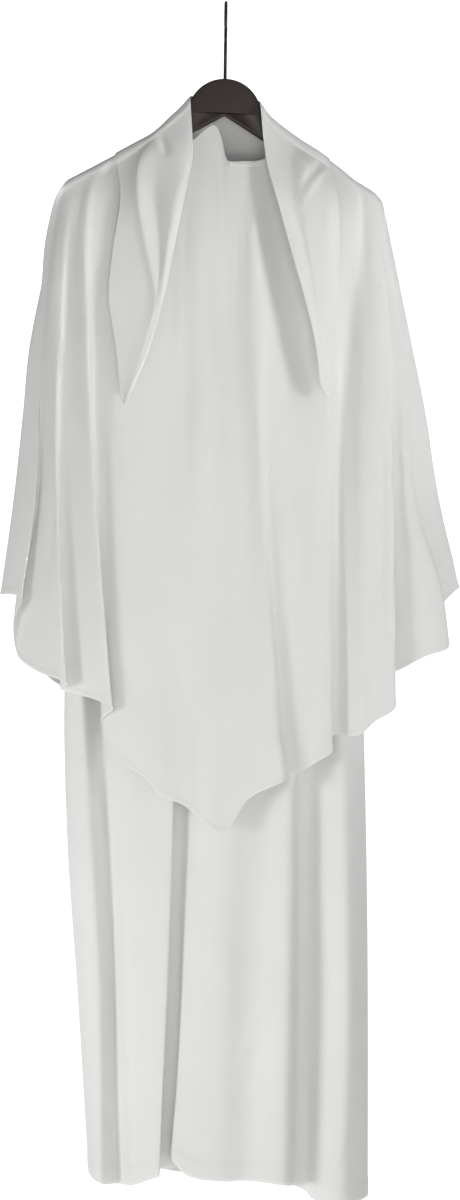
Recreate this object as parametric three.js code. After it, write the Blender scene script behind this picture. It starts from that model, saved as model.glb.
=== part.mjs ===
// A long white crepe dress under a hooded cape, hanging as a set on a dark wooden hanger.
// Millimetres, +Z up. The viewer faces +Y, with +X to the right, and the origin is where the
// inside of the hanger's hook rests on a rail.
import * as THREE from "three";

// Cloth and the gaps kept between its layers
const CREPE = 1.2; // wall of one layer of crepe
const SEAM_HALF = 0.2; // half the gap left where two panels are sewn together
const BAND_GAP = 0.3; // left between the bands in which a long panel is built
const MITRE_LIMIT = 1.6; // most that a wall is moved out at a sharp fold, in half thicknesses
const BINDING = 1.0; // wall of the turned neck binding
const BINDING_WIDTH = 7;
const BINDING_LIFT = 1.5; // from the middle of the cape's wall to the middle of the binding

// Hanger. The wire leans a little on its rail, and the wood tips about its notch
const WIRE_LEAN = THREE.MathUtils.degToRad(0.7);
const WOOD_TIP = THREE.MathUtils.degToRad(2.4); // its right arm hangs lower
const WOOD_X = -2.2; // the middle of the wood, across the set
const WIRE_RADIUS = 2.2;
const HOOK_BEND = 25; // radius of the hook to the wire's middle
const HOOK_SWEEP = THREE.MathUtils.degToRad(112); // the bend runs this far each way from its top
const HOOK_NECK = [
  // the wire's middle on its way from the end of the bend to the straight shank
  { y: 15.2, z: -42 },
  { y: 2, z: -51 },
  { y: 0, z: -60 },
];
const DOME_RADIUS = 49; // the rounded middle of the wood
const DOME_SWEEP = THREE.MathUtils.degToRad(86); // the dome runs this far each way from its top
const DOME_FOOT = { out: 54, rise: 1.5 }; // the soft corner between the dome and an arm
const NOTCH_Z = -147; // top of the notch under the dome
const ARM_SLOPE = 0.596; // fall of the arms for each millimetre outwards
const ARM_TOP_Z = -123; // where the two arms' top edges would cross
const ARM_SAG = 1; // dip of the arms' top edges between the dome and their ends
const ARM_FROM = 62; // where the arms leave the dome
const ARM_REACH = 205;
const ARM_HEIGHT = ARM_TOP_Z - NOTCH_Z; // of the wood at its middle
const ARM_END_HEIGHT = 9; // the arms taper to this at their ends
const WOOD_EDGE = 5; // depth of the rounding on the wood's long edges
const WOOD_ROUND = 3.5; // how far the rounding cuts in from the outline
const WOOD_CORE = 2; // flat left between the roundings
const WOOD_GAP = 0.3; // left between the wire's end and the wood
const DROOP_FROM = 199; // beyond this the cloth leaves the wood and bends down
const DROOP = 0.03;

// Height of an arm's top edge at a distance from the hanger's middle, before the tip
function armTopZ(out) {
  const t = THREE.MathUtils.clamp((out - ARM_FROM) / (ARM_REACH - ARM_FROM), 0, 1);
  return ARM_TOP_Z - ARM_SLOPE * out - ARM_SAG * Math.sin(Math.PI * t);
}

// Height of the wood of an arm, upright
function armHeight(out) {
  const t = THREE.MathUtils.clamp((out - ARM_FROM) / (ARM_REACH - ARM_FROM), 0, 1);
  return THREE.MathUtils.lerp(ARM_HEIGHT, ARM_END_HEIGHT, t);
}

// Height of the hanger's top edge at a place across the hanging set
function ridgeZ(x) {
  let z = -200; // a first guess, bettered by each pass
  for (let pass = 0; pass < 3; pass += 1) {
    const out = (x - WOOD_X) * Math.cos(WOOD_TIP) - (z - NOTCH_Z) * Math.sin(WOOD_TIP);
    const past = Math.max(0, Math.abs(out) - DROOP_FROM);
    const rise = armTopZ(Math.abs(out)) - DROOP * past * past - NOTCH_Z;
    z = NOTCH_Z - out * Math.sin(WOOD_TIP) + rise * Math.cos(WOOD_TIP);
  }
  return z;
}

// Each cloth layer lies this much above the wood on the shoulders, and rolls over it at this radius
const LAYERS = {
  dress: { lift: 1.5, roll: 11 },
  cape: { lift: 3.8, roll: 13.5 },
  hood: { lift: 6.1, roll: 16.5 },
};

// Tables of folds. A row is one line of cloth from its top edge down to its hem: `top` is where it
// starts across the shoulders, `from` its height and depth there if that isn't on the hanger's
// ridge, `hem` the height of its lower end, and x and y its place at each of the panel's levels.
const CAPE_LEVELS = [-260, -450, -540, -650, -780, -920];
const CAPE_FRONT = [
  {
    at: "left side", top: -211, hem: -779,
    x: [-236, -259, -268, -280, -298, -318], y: [0, 0, 0, 0, 0, 0],
  },
  {
    at: "outer fold, left", top: -209, hem: -783,
    x: [-226, -243, -246, -250.5, -268, -285], y: [-8, -13, -18, -25, -31, -34],
  },
  {
    at: "behind outer fold", top: -206, hem: -815,
    x: [-219, -239, -244.5, -250.5, -276, -286], y: [-10, -16.5, -16.5, -18, -17, -17],
  },
  {
    at: "second fold tuck", top: -203, hem: -858,
    x: [-216, -235.5, -240.5, -245, -270, -276], y: [-12, -20.5, -18, -16, -9, -8],
  },
  {
    at: "second fold side", top: -199, hem: -878,
    x: [-212, -231, -235, -239, -247, -250], y: [-15, -26, -27, -28, -28, -32],
  },
  {
    at: "second fold edge", top: -193, hem: -894,
    x: [-205, -217, -221, -220, -214, -206], y: [-18, -34, -41, -48, -56, -61],
  },
  {
    at: "behind second fold", top: -187, hem: -903,
    x: [-198, -213, -219, -222, -220, -216], y: [-20, -28, -30, -32, -36, -36],
  },
  {
    at: "third fold side", top: -181, hem: -907,
    x: [-191, -204, -207, -208, -206, -201], y: [-22, -31, -32, -34, -36, -38],
  },
  {
    at: "third fold edge", top: -171, hem: -926,
    x: [-181, -180, -176, -169, -160, -148], y: [-26, -44, -50, -56, -62, -66],
  },
  {
    at: "behind third fold", top: -161, hem: -943,
    x: [-171, -174, -174, -172, -169, -163], y: [-25, -31, -32, -34, -37, -42],
  },
  {
    at: "body's left side", top: -151, hem: -976,
    x: [-160, -162, -161, -159, -157, -156], y: [-25, -32, -34, -36, -39, -42],
  },
  {
    at: "body left", top: -137, hem: -992,
    x: [-144, -146, -146, -145, -145, -145], y: [-28, -37, -40, -42, -46, -50],
  },
  {
    at: "beside hood tip", top: -105, hem: -1013,
    x: [-114, -117, -117, -116, -114, -112], y: [-28, -37, -42, -47, -53, -58],
  },
  {
    at: "neck side left", top: -70, hem: -1036,
    x: [-82, -86, -87, -88, -88, -88], y: [-27, -36, -40, -46, -53, -60],
  },
  {
    at: "over the wood left", top: -64, turn: 45, hem: -1044,
    x: [-70, -73, -74, -75, -75, -74], y: [-26, -35, -39, -45, -52, -59],
  },
  {
    at: "down its front left", top: -58, turn: 85, hem: -1050,
    x: [-60, -62, -63, -63, -63, -61], y: [-26, -35, -39, -45, -52, -59],
  },
  {
    at: "neck corner left", top: -49, from: [-182, -10], hem: -1058,
    x: [-48, -49, -50, -50, -50, -48], y: [-25, -35, -39, -45, -52, -60],
  },
  {
    at: "neck left", top: -30, from: [-169, -6], hem: -1067,
    x: [-34, -36, -36, -37, -38, -37], y: [-26, -37, -42, -47, -53, -61],
  },
  {
    at: "neck peak", top: -15, from: [-160, -4], hem: -1077,
    x: [-20, -23, -24, -24, -24, -24], y: [-27, -38, -43, -48, -54, -63],
  },
  {
    at: "neck curve", top: -5, from: [-181, -10], hem: -1086,
    x: [-8, -10, -10, -11, -12, -12], y: [-28, -40, -44, -49, -55, -64],
  },
  {
    at: "front point", top: 3, from: [-209, -19], hem: -1086,
    x: [4, 3, 3, 2, 1, 1], y: [-29, -42, -46, -50, -55, -64],
  },
  {
    at: "front right", top: 24, from: [-210, -20], hem: -1043,
    x: [22, 22, 24, 27, 28, 29], y: [-30, -44, -48, -51, -56, -66],
  },
  {
    at: "centre fold", top: 36, from: [-210, -19], hem: -1021,
    x: [36, 40, 43, 48, 55, 66], y: [-30, -46, -51, -55, -62, -71],
  },
  {
    at: "hollow beside it", top: 46, from: [-208, -18], hem: -1017,
    x: [46, 52, 52, 55, 62, 73], y: [-26, -41, -45, -45, -50, -54],
  },
  {
    at: "neck corner right", top: 56, from: [-202, -16], hem: -1010,
    x: [56, 68, 70, 73, 80, 89], y: [-21, -33, -44, -46, -51, -55],
  },
  {
    at: "down its front right", top: 65, turn: 85, hem: -1003,
    x: [67, 83, 86, 90, 96, 104], y: [-19, -27, -43, -47, -52, -56],
  },
  {
    at: "over the wood right", top: 73, turn: 45, hem: -997,
    x: [78, 95, 98, 101, 106, 113], y: [-19, -25, -43, -48, -53, -58],
  },
  {
    at: "neck side right", top: 82, hem: -991,
    x: [92, 106, 109, 112, 117, 124], y: [-20, -26, -43, -49, -54, -59],
  },
  {
    at: "under the hood", top: 106, hem: -984,
    x: [114, 122, 124, 125, 129, 135], y: [-25, -34, -43, -48, -53, -58],
  },
  {
    at: "right body", top: 142, from: [-209.5, 0], hem: -966,
    x: [144, 138, 136, 135, 135, 137], y: [-26, -37, -41, -45, -50, -56],
  },
  {
    at: "deep hollow", top: 168, hem: -962,
    x: [172, 158, 152, 148, 146, 145], y: [-20, -24, -26, -28, -31, -35],
  },
  {
    at: "right fold", top: 179, hem: -961,
    x: [184, 181, 178, 176, 175, 175], y: [-19, -33, -39, -45, -50, -54],
  },
  {
    at: "crease", top: 184, hem: -946,
    x: [189, 199, 198, 196, 194, 192], y: [-18, -35, -41, -47, -51, -53],
  },
  {
    at: "right fold edge", top: 188, hem: -926,
    x: [193, 212, 214, 216, 219, 220], y: [-16, -30, -38, -46, -53, -56],
  },
  {
    at: "tuck behind right fold", top: 191.5, hem: -888,
    x: [195.5, 216, 215, 214, 209, 206], y: [-13, -23, -26, -28, -29, -29],
  },
  {
    at: "outer fold's inner side", top: 194, hem: -876,
    x: [197.8, 221, 224, 227, 230, 232], y: [-11, -21, -25, -28, -31, -33],
  },
  {
    at: "outer fold, right", top: 196.5, hem: -859,
    x: [200, 228, 232, 236, 257, 266], y: [-9, -18, -25, -31, -37, -40],
  },
  {
    at: "outer fold edge, right", top: 198.5, hem: -847,
    x: [205, 233, 240, 246, 284, 298], y: [-7, -14, -20, -26, -31, -33],
  },
  {
    at: "tuck behind outer fold", top: 200.5, hem: -803,
    x: [208, 238, 244, 250, 276, 287], y: [-4, -10, -11, -11, -11, -12],
  },
  {
    at: "right side", top: 202.5, hem: -770,
    x: [215, 245.5, 263.5, 280.5, 309.5, 326], y: [0, 0, 0, 0, 0, 0],
  },
];
const CAPE_BACK = [
  {
    at: "left side", top: -211, hem: -779,
    x: [-236, -259, -268, -280, -298, -318], y: [0, 0, 0, 0, 0, 0],
  },
  {
    at: "left back fold", top: -204, hem: -786,
    x: [-221, -246, -252, -258, -270, -276], y: [11, 24, 30, 36, 43, 48],
  },
  {
    at: "left hollow", top: -190, hem: -868,
    x: [-204, -223, -229, -233, -240, -247], y: [17, 22, 23, 24, 25, 26],
  },
  {
    at: "left blade fold", top: -163, hem: -908,
    x: [-174, -182, -186, -190, -195, -200], y: [22, 38, 45, 52, 60, 66],
  },
  {
    at: "hollow, left", top: -120, hem: -940,
    x: [-128, -136, -139, -142, -146, -150], y: [22, 30, 31, 32, 34, 36],
  },
  {
    at: "neck side left", top: -72, hem: -968,
    x: [-84, -92, -94, -96, -99, -102], y: [24, 37, 43, 51, 60, 66],
  },
  {
    at: "over the wood left", top: -64, turn: 42, hem: -980,
    x: [-66, -72, -74, -75, -77, -78], y: [24, 36, 41, 47, 53, 58],
  },
  {
    at: "behind the wood left", top: -57, turn: 88, hem: -990,
    x: [-50, -52, -53, -54, -55, -56], y: [23, 32, 35, 37, 40, 43],
  },
  {
    at: "nape left", top: -34, from: [-156, 14], hem: -1000,
    x: [-26, -26, -26, -27, -27, -28], y: [24, 36, 42, 48, 55, 60],
  },
  {
    at: "nape", top: 0, from: [-142, 14], hem: -1006,
    x: [6, 8, 8, 8, 8, 8], y: [25, 35, 38, 40, 43, 46],
  },
  {
    at: "nape right", top: 32, from: [-154, 14], hem: -998,
    x: [36, 40, 41, 42, 44, 46], y: [26, 38, 45, 53, 62, 68],
  },
  {
    at: "behind the wood right", top: 62, turn: 88, hem: -986,
    x: [60, 66, 68, 71, 74, 77], y: [23, 32, 35, 37, 39, 41],
  },
  {
    at: "over the wood right", top: 70, turn: 42, hem: -976,
    x: [78, 86, 89, 92, 96, 100], y: [23, 36, 41, 46, 52, 56],
  },
  {
    at: "neck side right", top: 78, hem: -962,
    x: [94, 104, 107, 111, 117, 122], y: [23, 37, 43, 51, 59, 64],
  },
  {
    at: "hollow, right", top: 118, hem: -930,
    x: [128, 136, 140, 146, 152, 158], y: [22, 29, 30, 30, 31, 32],
  },
  {
    at: "right blade fold", top: 157, hem: -890,
    x: [162, 173, 180, 187, 195, 202], y: [21, 38, 45, 52, 60, 65],
  },
  {
    at: "right hollow", top: 180, hem: -846,
    x: [184, 204, 213, 222, 234, 244], y: [16, 21, 22, 22, 23, 24],
  },
  {
    at: "right back fold", top: 195, hem: -790,
    x: [196, 230, 243, 254, 276, 284], y: [9, 22, 27, 33, 39, 43],
  },
  {
    at: "right side", top: 202.5, hem: -770,
    x: [215, 245.5, 263.5, 280.5, 309.5, 326], y: [0, 0, 0, 0, 0, 0],
  },
];

const DRESS_LEVELS = [-260, -420, -700, -905, -1100, -1300, -1545];
const DRESS_FRONT = [
  {
    at: "left side and armhole", top: -190, hem: -1541,
    x: [-174, -180, -200, -213, -209.5, -196, -181], y: [-15, 0, 0, 0, 0, 0, 0],
  },
  {
    at: "left ridge", top: -172, hem: -1549,
    x: [-166, -168, -184, -190, -178, -166, -163], y: [-15, -15, -17, -26, -31, -32, -36],
  },
  {
    at: "left hollow", top: -150, hem: -1553,
    x: [-150, -152, -166, -170, -158, -150, -144], y: [-16, -18, -13, -11, -9, -10, -14],
  },
  {
    at: "second panel side", top: -125, hem: -1549,
    x: [-128, -128, -130, -130, -129, -128, -122], y: [-16, -19, -21, -29, -36, -40, -44],
  },
  {
    at: "second panel", top: -100, hem: -1541,
    x: [-102, -100, -98, -98, -99, -102, -104], y: [-16, -19, -23, -35, -45, -51, -57],
  },
  {
    at: "second panel edge", top: -80, hem: -1533,
    x: [-84, -80, -70, -66, -69, -76, -87], y: [-16, -19, -24, -38, -50, -57, -64],
  },
  {
    at: "tuck behind second panel", top: -74, turn: 42, hem: -1529,
    x: [-75, -74, -73, -74, -78, -85, -94], y: [-15, -17, -18, -24, -31, -36, -42],
  },
  {
    at: "hollow floor", top: -68, turn: 88, hem: -1527,
    x: [-65, -62, -59, -58, -58, -62, -64], y: [-14, -16, -17, -22, -28, -33, -39],
  },
  {
    at: "middle panel edge", top: -50, from: [-205, -13], hem: -1514,
    x: [-44, -44, -46, -48, -48, -56, -74], y: [-15, -18, -19, -26, -35, -44, -51],
  },
  {
    at: "middle panel left", top: -22, from: [-232, -14], hem: -1534,
    x: [-20, -20, -26, -28, -30, -36, -50], y: [-15, -19, -23, -34, -46, -54, -60],
  },
  {
    at: "middle panel", top: 8, from: [-234, -14], hem: -1540,
    x: [8, 8, 4, 4, 2, -2, -8], y: [-15, -19, -25, -39, -51, -59, -65],
  },
  {
    at: "faint hollow", top: 30, from: [-234, -14], hem: -1540,
    x: [30, 36, 45, 48, 47, 40, 28], y: [-15, -18, -23, -35, -46, -54, -60],
  },
  {
    at: "middle panel ridge", top: 54, from: [-224, -13.5], hem: -1544,
    x: [58, 66, 82, 88, 85, 82, 77], y: [-15, -19, -25, -39, -54, -63, -71],
  },
  {
    at: "tuck behind middle panel", top: 72, turn: 88, hem: -1553,
    x: [74, 80, 94, 98, 96, 94, 90], y: [-15, -17, -17, -17, -20, -24, -29],
  },
  {
    at: "right hollow", top: 80, turn: 42, hem: -1561,
    x: [86, 92, 106, 110, 109, 107, 105], y: [-16, -17, -16, -15, -17, -20, -25],
  },
  {
    at: "soft ridge", top: 96, hem: -1570,
    x: [104, 110, 123, 127, 128, 127, 118], y: [-16, -18, -18, -21, -26, -31, -37],
  },
  {
    at: "right panel", top: 140, hem: -1572,
    x: [140, 140, 148, 152, 157, 160, 153], y: [-16, -16, -20, -29, -38, -45, -53],
  },
  {
    at: "right side and armhole", top: 178, hem: -1571,
    x: [160, 158, 170, 180, 185, 187, 187], y: [-15, 0, 0, 0, 0, 0, 0],
  },
];
const DRESS_BACK = [
  {
    at: "left side and armhole", top: -190, hem: -1541,
    x: [-174, -180, -200, -213, -209.5, -196, -181], y: [14, 0, 0, 0, 0, 0, 0],
  },
  {
    at: "left back ridge", top: -160, hem: -1547,
    x: [-158, -160, -176, -180, -172, -160, -150], y: [14, 15, 18, 24, 34, 44, 52],
  },
  {
    at: "left hollow", top: -118, hem: -1548,
    x: [-120, -122, -134, -140, -134, -126, -118], y: [14, 15, 14, 15, 17, 18, 20],
  },
  {
    at: "left panel", top: -92, hem: -1549,
    x: [-96, -98, -104, -106, -102, -98, -94], y: [14, 16, 19, 26, 40, 54, 64],
  },
  {
    at: "over the wood left", top: -80, turn: 42, hem: -1548,
    x: [-78, -80, -84, -86, -80, -74, -70], y: [14, 16, 17, 20, 27, 33, 38],
  },
  {
    at: "behind the wood left", top: -72, turn: 88, hem: -1546,
    x: [-62, -62, -62, -62, -58, -54, -50], y: [14, 16, 15, 17, 20, 22, 25],
  },
  {
    at: "nape left", top: -44, from: [-212, 12.5], hem: -1548,
    x: [-36, -36, -34, -32, -30, -28, -26], y: [14, 16, 20, 28, 42, 56, 66],
  },
  {
    at: "nape", top: 0, from: [-229, 12.5], hem: -1546,
    x: [0, 2, 4, 8, 10, 12, 14], y: [13, 16, 16, 18, 22, 26, 30],
  },
  {
    at: "nape right", top: 44, from: [-226, 12.5], hem: -1550,
    x: [36, 40, 44, 46, 48, 50, 52], y: [13, 16, 19, 26, 38, 50, 60],
  },
  {
    at: "behind the wood right", top: 72, turn: 88, hem: -1555,
    x: [62, 66, 74, 78, 82, 84, 86], y: [14, 16, 15, 17, 19, 21, 24],
  },
  {
    at: "over the wood right", top: 82, turn: 42, hem: -1561,
    x: [80, 84, 96, 102, 106, 108, 110], y: [14, 16, 18, 24, 34, 44, 52],
  },
  {
    at: "right hollow", top: 96, hem: -1566,
    x: [102, 106, 124, 132, 136, 138, 138], y: [14, 15, 14, 15, 17, 19, 22],
  },
  {
    at: "right back ridge", top: 140, hem: -1570,
    x: [134, 134, 150, 158, 163, 166, 164], y: [14, 14, 16, 23, 32, 40, 47],
  },
  {
    at: "right side and armhole", top: 178, hem: -1571,
    x: [160, 158, 170, 180, 185, 187, 187], y: [14, 0, 0, 0, 0, 0, 0],
  },
];

// The hood's two front ends, which fall over the chest and end in points, and its back
const HOOD_LEVELS = [-215, -260, -324, -390, -450, -530];
const HOOD_LEFT = [
  {
    at: "outer edge", top: -146, hem: -521,
    x: [-132, -138, -148, -154, -145, -135.5], y: [-33, -36, -40, -43, -46, -50],
  },
  {
    at: "outer panel", top: -137, hem: -529,
    x: [-128.5, -128, -127, -124, -124, -133.5], y: [-34, -40, -45, -48, -50, -52],
  },
  {
    at: "tuck", top: -128, hem: -532,
    x: [-127, -121, -112, -101, -112, -132], y: [-35, -43, -49, -52, -53, -53.5],
  },
  {
    at: "cowl ridge", top: -121, hem: -531,
    x: [-124, -115, -104, -92.5, -106, -131], y: [-39, -48, -54, -56, -54.5, -54.5],
  },
  {
    at: "cowl hollow", top: -90, from: [-164.6, 0], hem: -528,
    x: [-108, -98, -86, -89.5, -103, -130.2], y: [-32, -38, -47, -54, -54, -54.5],
  },
  {
    at: "neck side", top: -73, from: [-147.5, 0], hem: -525,
    x: [-80, -81, -81, -87, -101, -129.5], y: [-34, -44, -52, -56, -54.5, -54.8],
  },
  {
    at: "inner side", top: -60, from: [-135.5, 0], hem: -520,
    x: [-58, -65, -75, -84, -98.8, -128.6], y: [-38, -50, -57, -58, -55, -55],
  },
  {
    at: "inner edge", top: -47, from: [-121, 0], hem: -513,
    x: [-44.5, -54, -67, -80.5, -96.5, -127.5], y: [-35, -45, -52, -54, -53, -54],
  },
];
const HOOD_RIGHT = [
  {
    at: "inner edge", top: 44.5, from: [-128, 0], hem: -505,
    x: [53.5, 65, 82, 101, 115.5, 124.5], y: [-37, -54, -61, -63, -63, -61],
  },
  {
    at: "inner side", top: 59, from: [-147.5, 0], hem: -511,
    x: [65, 73, 89, 106, 118, 126], y: [-34, -50, -58, -62, -62.5, -60],
  },
  {
    at: "crease", top: 80, from: [-165, 0], hem: -516,
    x: [84, 86, 100, 113, 121.5, 127.8], y: [-31, -42, -50, -56, -59, -58.5],
  },
  {
    at: "soft ridge", top: 103, from: [-181, 0], hem: -520,
    x: [105, 102, 110, 119, 125.5, 129.5], y: [-36, -48, -54, -57.5, -58.5, -58],
  },
  {
    at: "outer ridge", top: 121, from: [-192.5, 0], hem: -520,
    x: [130, 133, 135, 134, 132, 131.5], y: [-36, -44, -50, -54, -56, -57],
  },
  {
    at: "outer edge", top: 136, from: [-203, 0], hem: -514,
    x: [141, 146, 148, 146, 142, 135.5], y: [-32, -36, -41, -46, -50, -54],
  },
];
const HOOD_BACK_LEVELS = [-180, -260, -330, -390];
const HOOD_BACK = [
  { at: "left end", top: -146, hem: -250, x: [-148, -156, -158, -160], y: [21, 30, 38, 44] },
  { at: "left shoulder", top: -119, hem: -318, x: [-122, -132, -136, -138], y: [21, 37, 50, 58] },
  {
    at: "left hollow", top: -90, from: [-164.6, 0], hem: -362,
    x: [-98, -104, -108, -110], y: [22, 34, 42, 48],
  },
  {
    at: "neck side left", top: -73, from: [-147.5, 0], hem: -380,
    x: [-76, -84, -88, -91], y: [22, 37, 48, 55],
  },
  {
    at: "left fold", top: -60, from: [-135.5, 0], hem: -388,
    x: [-62, -68, -70, -72], y: [24, 42, 56, 64],
  },
  {
    at: "left inner", top: -47, from: [-121, 0], hem: -402,
    x: [-44, -42, -42, -43], y: [20, 37, 47, 54],
  },
  {
    at: "dome edge left", top: -41, from: [-120.5, 10.5], hem: -406,
    x: [-30, -26, -26, -27], y: [21, 41, 53, 61],
  },
  {
    at: "behind the dome left", top: -26, from: [-118, 17], hem: -410,
    x: [-12, -8, -8, -9], y: [23, 43, 55, 62],
  },
  { at: "nape", top: 0, from: [-117, 18], hem: -412, x: [8, 13, 14, 15], y: [24, 39, 48, 54] },
  {
    at: "behind the dome right", top: 22, from: [-121, 17], hem: -407,
    x: [28, 34, 36, 38], y: [23, 43, 57, 65],
  },
  {
    at: "dome edge right", top: 38.5, from: [-126, 10], hem: -401,
    x: [43, 52, 56, 59], y: [21, 38, 50, 57],
  },
  {
    at: "right inner", top: 44.5, from: [-128, 0], hem: -396,
    x: [56, 66, 69, 72], y: [20, 36, 46, 53],
  },
  { at: "right fold", top: 59, from: [-147.5, 0], hem: -380, x: [76, 90, 94, 98], y: [22, 42, 55, 62] },
  {
    at: "neck side right", top: 80, from: [-165, 0], hem: -364,
    x: [90, 102, 107, 111], y: [22, 38, 48, 55],
  },
  {
    at: "right hollow", top: 103, from: [-181, 0], hem: -338,
    x: [108, 118, 124, 128], y: [21, 33, 40, 46],
  },
  {
    at: "right end", top: 136, from: [-203, 0], hem: -258,
    x: [134, 142, 146, 150], y: [18, 28, 38, 44],
  },
];

// A smooth line through values given at falling heights
function along(levels, values, z) {
  const last = levels.length - 1;
  if (z >= levels[0]) return values[0];
  if (z <= levels[last]) {
    const slope = (values[last] - values[last - 1]) / (levels[last] - levels[last - 1]);
    return values[last] + slope * (z - levels[last]);
  }
  const i = levels.findIndex((level) => z > level) - 1;
  const span = levels[i + 1] - levels[i];
  const rise = (k) => (values[k + 1] - values[k]) / (levels[k + 1] - levels[k]);
  const before = i > 0 ? (rise(i - 1) + rise(i)) / 2 : rise(i);
  const after = i < last - 1 ? (rise(i) + rise(i + 1)) / 2 : rise(i);
  const t = (z - levels[i]) / span;
  const [t2, t3] = [t * t, t * t * t];
  return (
    (2 * t3 - 3 * t2 + 1) * values[i] +
    (t3 - 2 * t2 + t) * span * before +
    (3 * t2 - 2 * t3) * values[i + 1] +
    (t3 - t2) * span * after
  );
}

// How far down each row lies below the top of the roll: close rows round the wood, then even ones.
// A line that starts part way round the wood has a start angle.
function rowDrops(roll, length, start, rollRows, rows) {
  const first = roll * (1 - Math.cos(start));
  const last = Math.max(roll, first + roll / 2);
  const drops = [];
  for (let i = 0; i <= rollRows; i += 1) {
    drops.push(first + (last - first) * (1 - Math.cos((Math.PI / 2) * (i / rollRows))));
  }
  for (let i = 1; i <= rows - rollRows; i += 1) {
    drops.push(last + (length - last) * (i / (rows - rollRows)));
  }
  return drops;
}

// The points of one fold line. `side` is -1 on the front and 1 on the back.
function foldLine(line, levels, side, layer, rollRows, rows) {
  const top = line.from ? line.from[0] : ridgeZ(line.top) + layer.lift;
  const rolls = !line.from || line.from[1] === 0;
  const start = THREE.MathUtils.degToRad(line.turn ?? 0);
  const sideSeam = line.y.some((y) => y === 0);
  const startDepth = rolls ? layer.roll : Math.abs(line.from[1]);
  const kept = levels.map((_, i) => i).filter((i) => levels[i] < top - 2 * layer.roll);
  const ends = kept.map((i) => levels[i]);
  const xs = [line.top, ...kept.map((i) => line.x[i])];
  const depths = [sideSeam && line.y[0] === 0 ? 0 : startDepth, ...kept.map((i) => Math.abs(line.y[i]))];
  return rowDrops(layer.roll, top - line.hem, start, rollRows, rows).map((drop) => {
    const t = Math.min(1, drop / layer.roll);
    const round = rolls ? Math.sqrt(t * (2 - t)) : 1;
    const z = top - drop;
    const depth = along([top - (rolls ? layer.roll : 0), ...ends], depths, z) * round;
    return new THREE.Vector3(along([top, ...ends], xs, z), side * Math.max(depth, SEAM_HALF), z);
  });
}

// A panel's grid of points: its fold lines joined across each row by a smooth curve. Where an end
// of the row is a seam on the side of the figure, the curve meets it square to the front.
function panelGrid(table, levels, side, layer, { perFold, rollRows, rows, sideSeams }) {
  const lines = table.map((line) => foldLine(line, levels, side, layer, rollRows, rows));
  const count = lines.length;
  const grid = [];
  for (let r = 0; r <= rows; r += 1) {
    const row = lines.map((line) => line[r]);
    const beyond = (end, next) =>
      sideSeams
        ? new THREE.Vector3(next.x, 2 * end.y - next.y, next.z)
        : end.clone().multiplyScalar(2).sub(next);
    const points = [beyond(row[0], row[1]), ...row, beyond(row[count - 1], row[count - 2])];
    const curve = new THREE.CatmullRomCurve3(points, false, "centripetal");
    const across = [];
    for (let c = 0; c <= (count - 1) * perFold; c += 1) {
      const point = curve.getPoint((1 + c / perFold) / (count + 1));
      point.y = side * Math.max(side * point.y, SEAM_HALF);
      across.push(point);
    }
    grid.push(across);
  }
  return grid;
}

// How far and which way to move each point of a grid for each millimetre of offset towards `side`.
// At a fold the move is longer, so that the wall keeps its thickness, and seam edges move
// straight out along the seam, so that the two walls that meet there stay apart.
function offsetWays(grid, side) {
  const [lastRow, lastColumn] = [grid.length - 1, grid[0].length - 1];
  const step = (r0, c0, r1, c1) => grid[r1][c1].clone().sub(grid[r0][c0]).normalize();
  return grid.map((row, r) =>
    row.map((point, c) => {
      const way = new THREE.Vector3();
      const flanks = [];
      for (const [above, below] of [[Math.max(r - 1, 0), r], [r, Math.min(r + 1, lastRow)]]) {
        for (const [left, right] of [[Math.max(c - 1, 0), c], [c, Math.min(c + 1, lastColumn)]]) {
          if (above === below || left === right) continue;
          const flank = step(above, c, below, c).cross(step(r, left, r, right));
          flanks.push(flank.multiplyScalar(-side).normalize());
          way.add(flank);
        }
      }
      if (Math.abs(point.y) < SEAM_HALF * 1.5) way.setY(0);
      way.normalize();
      const least = Math.min(...flanks.map((flank) => way.dot(flank)));
      return way.divideScalar(THREE.MathUtils.clamp(least, 1 / MITRE_LIMIT, 1));
    }),
  );
}

// A closed wall: the grid moved half a thickness each way, joined round its four edges
function wall(grid, ways, side, thickness, middle = 0) {
  const [rows, columns] = [grid.length, grid[0].length];
  const positions = [];
  for (const off of [middle + thickness / 2, middle - thickness / 2]) {
    grid.forEach((row, r) =>
      row.forEach((point, c) => {
        positions.push(...point.clone().addScaledVector(ways[r][c], off).toArray());
      }),
    );
  }
  const outer = (r, c) => r * columns + c;
  const inner = (r, c) => rows * columns + r * columns + c;
  const index = [];
  const face = (a, b, c, d) => {
    index.push(...(side < 0 ? [a, b, c, a, c, d] : [a, c, b, a, d, c]));
  };
  for (let r = 0; r < rows - 1; r += 1) {
    for (let c = 0; c < columns - 1; c += 1) {
      face(outer(r, c), outer(r + 1, c), outer(r + 1, c + 1), outer(r, c + 1));
      face(inner(r, c), inner(r, c + 1), inner(r + 1, c + 1), inner(r + 1, c));
    }
  }
  for (let c = 0; c < columns - 1; c += 1) {
    face(outer(0, c), outer(0, c + 1), inner(0, c + 1), inner(0, c));
    face(outer(rows - 1, c), inner(rows - 1, c), inner(rows - 1, c + 1), outer(rows - 1, c + 1));
  }
  for (let r = 0; r < rows - 1; r += 1) {
    face(outer(r + 1, 0), outer(r, 0), inner(r, 0), inner(r + 1, 0));
    face(outer(r, columns - 1), outer(r + 1, columns - 1), inner(r + 1, columns - 1), inner(r, columns - 1));
  }
  const geometry = new THREE.BufferGeometry();
  geometry.setAttribute("position", new THREE.Float32BufferAttribute(positions, 3));
  geometry.setIndex(index);
  return geometry;
}

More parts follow.
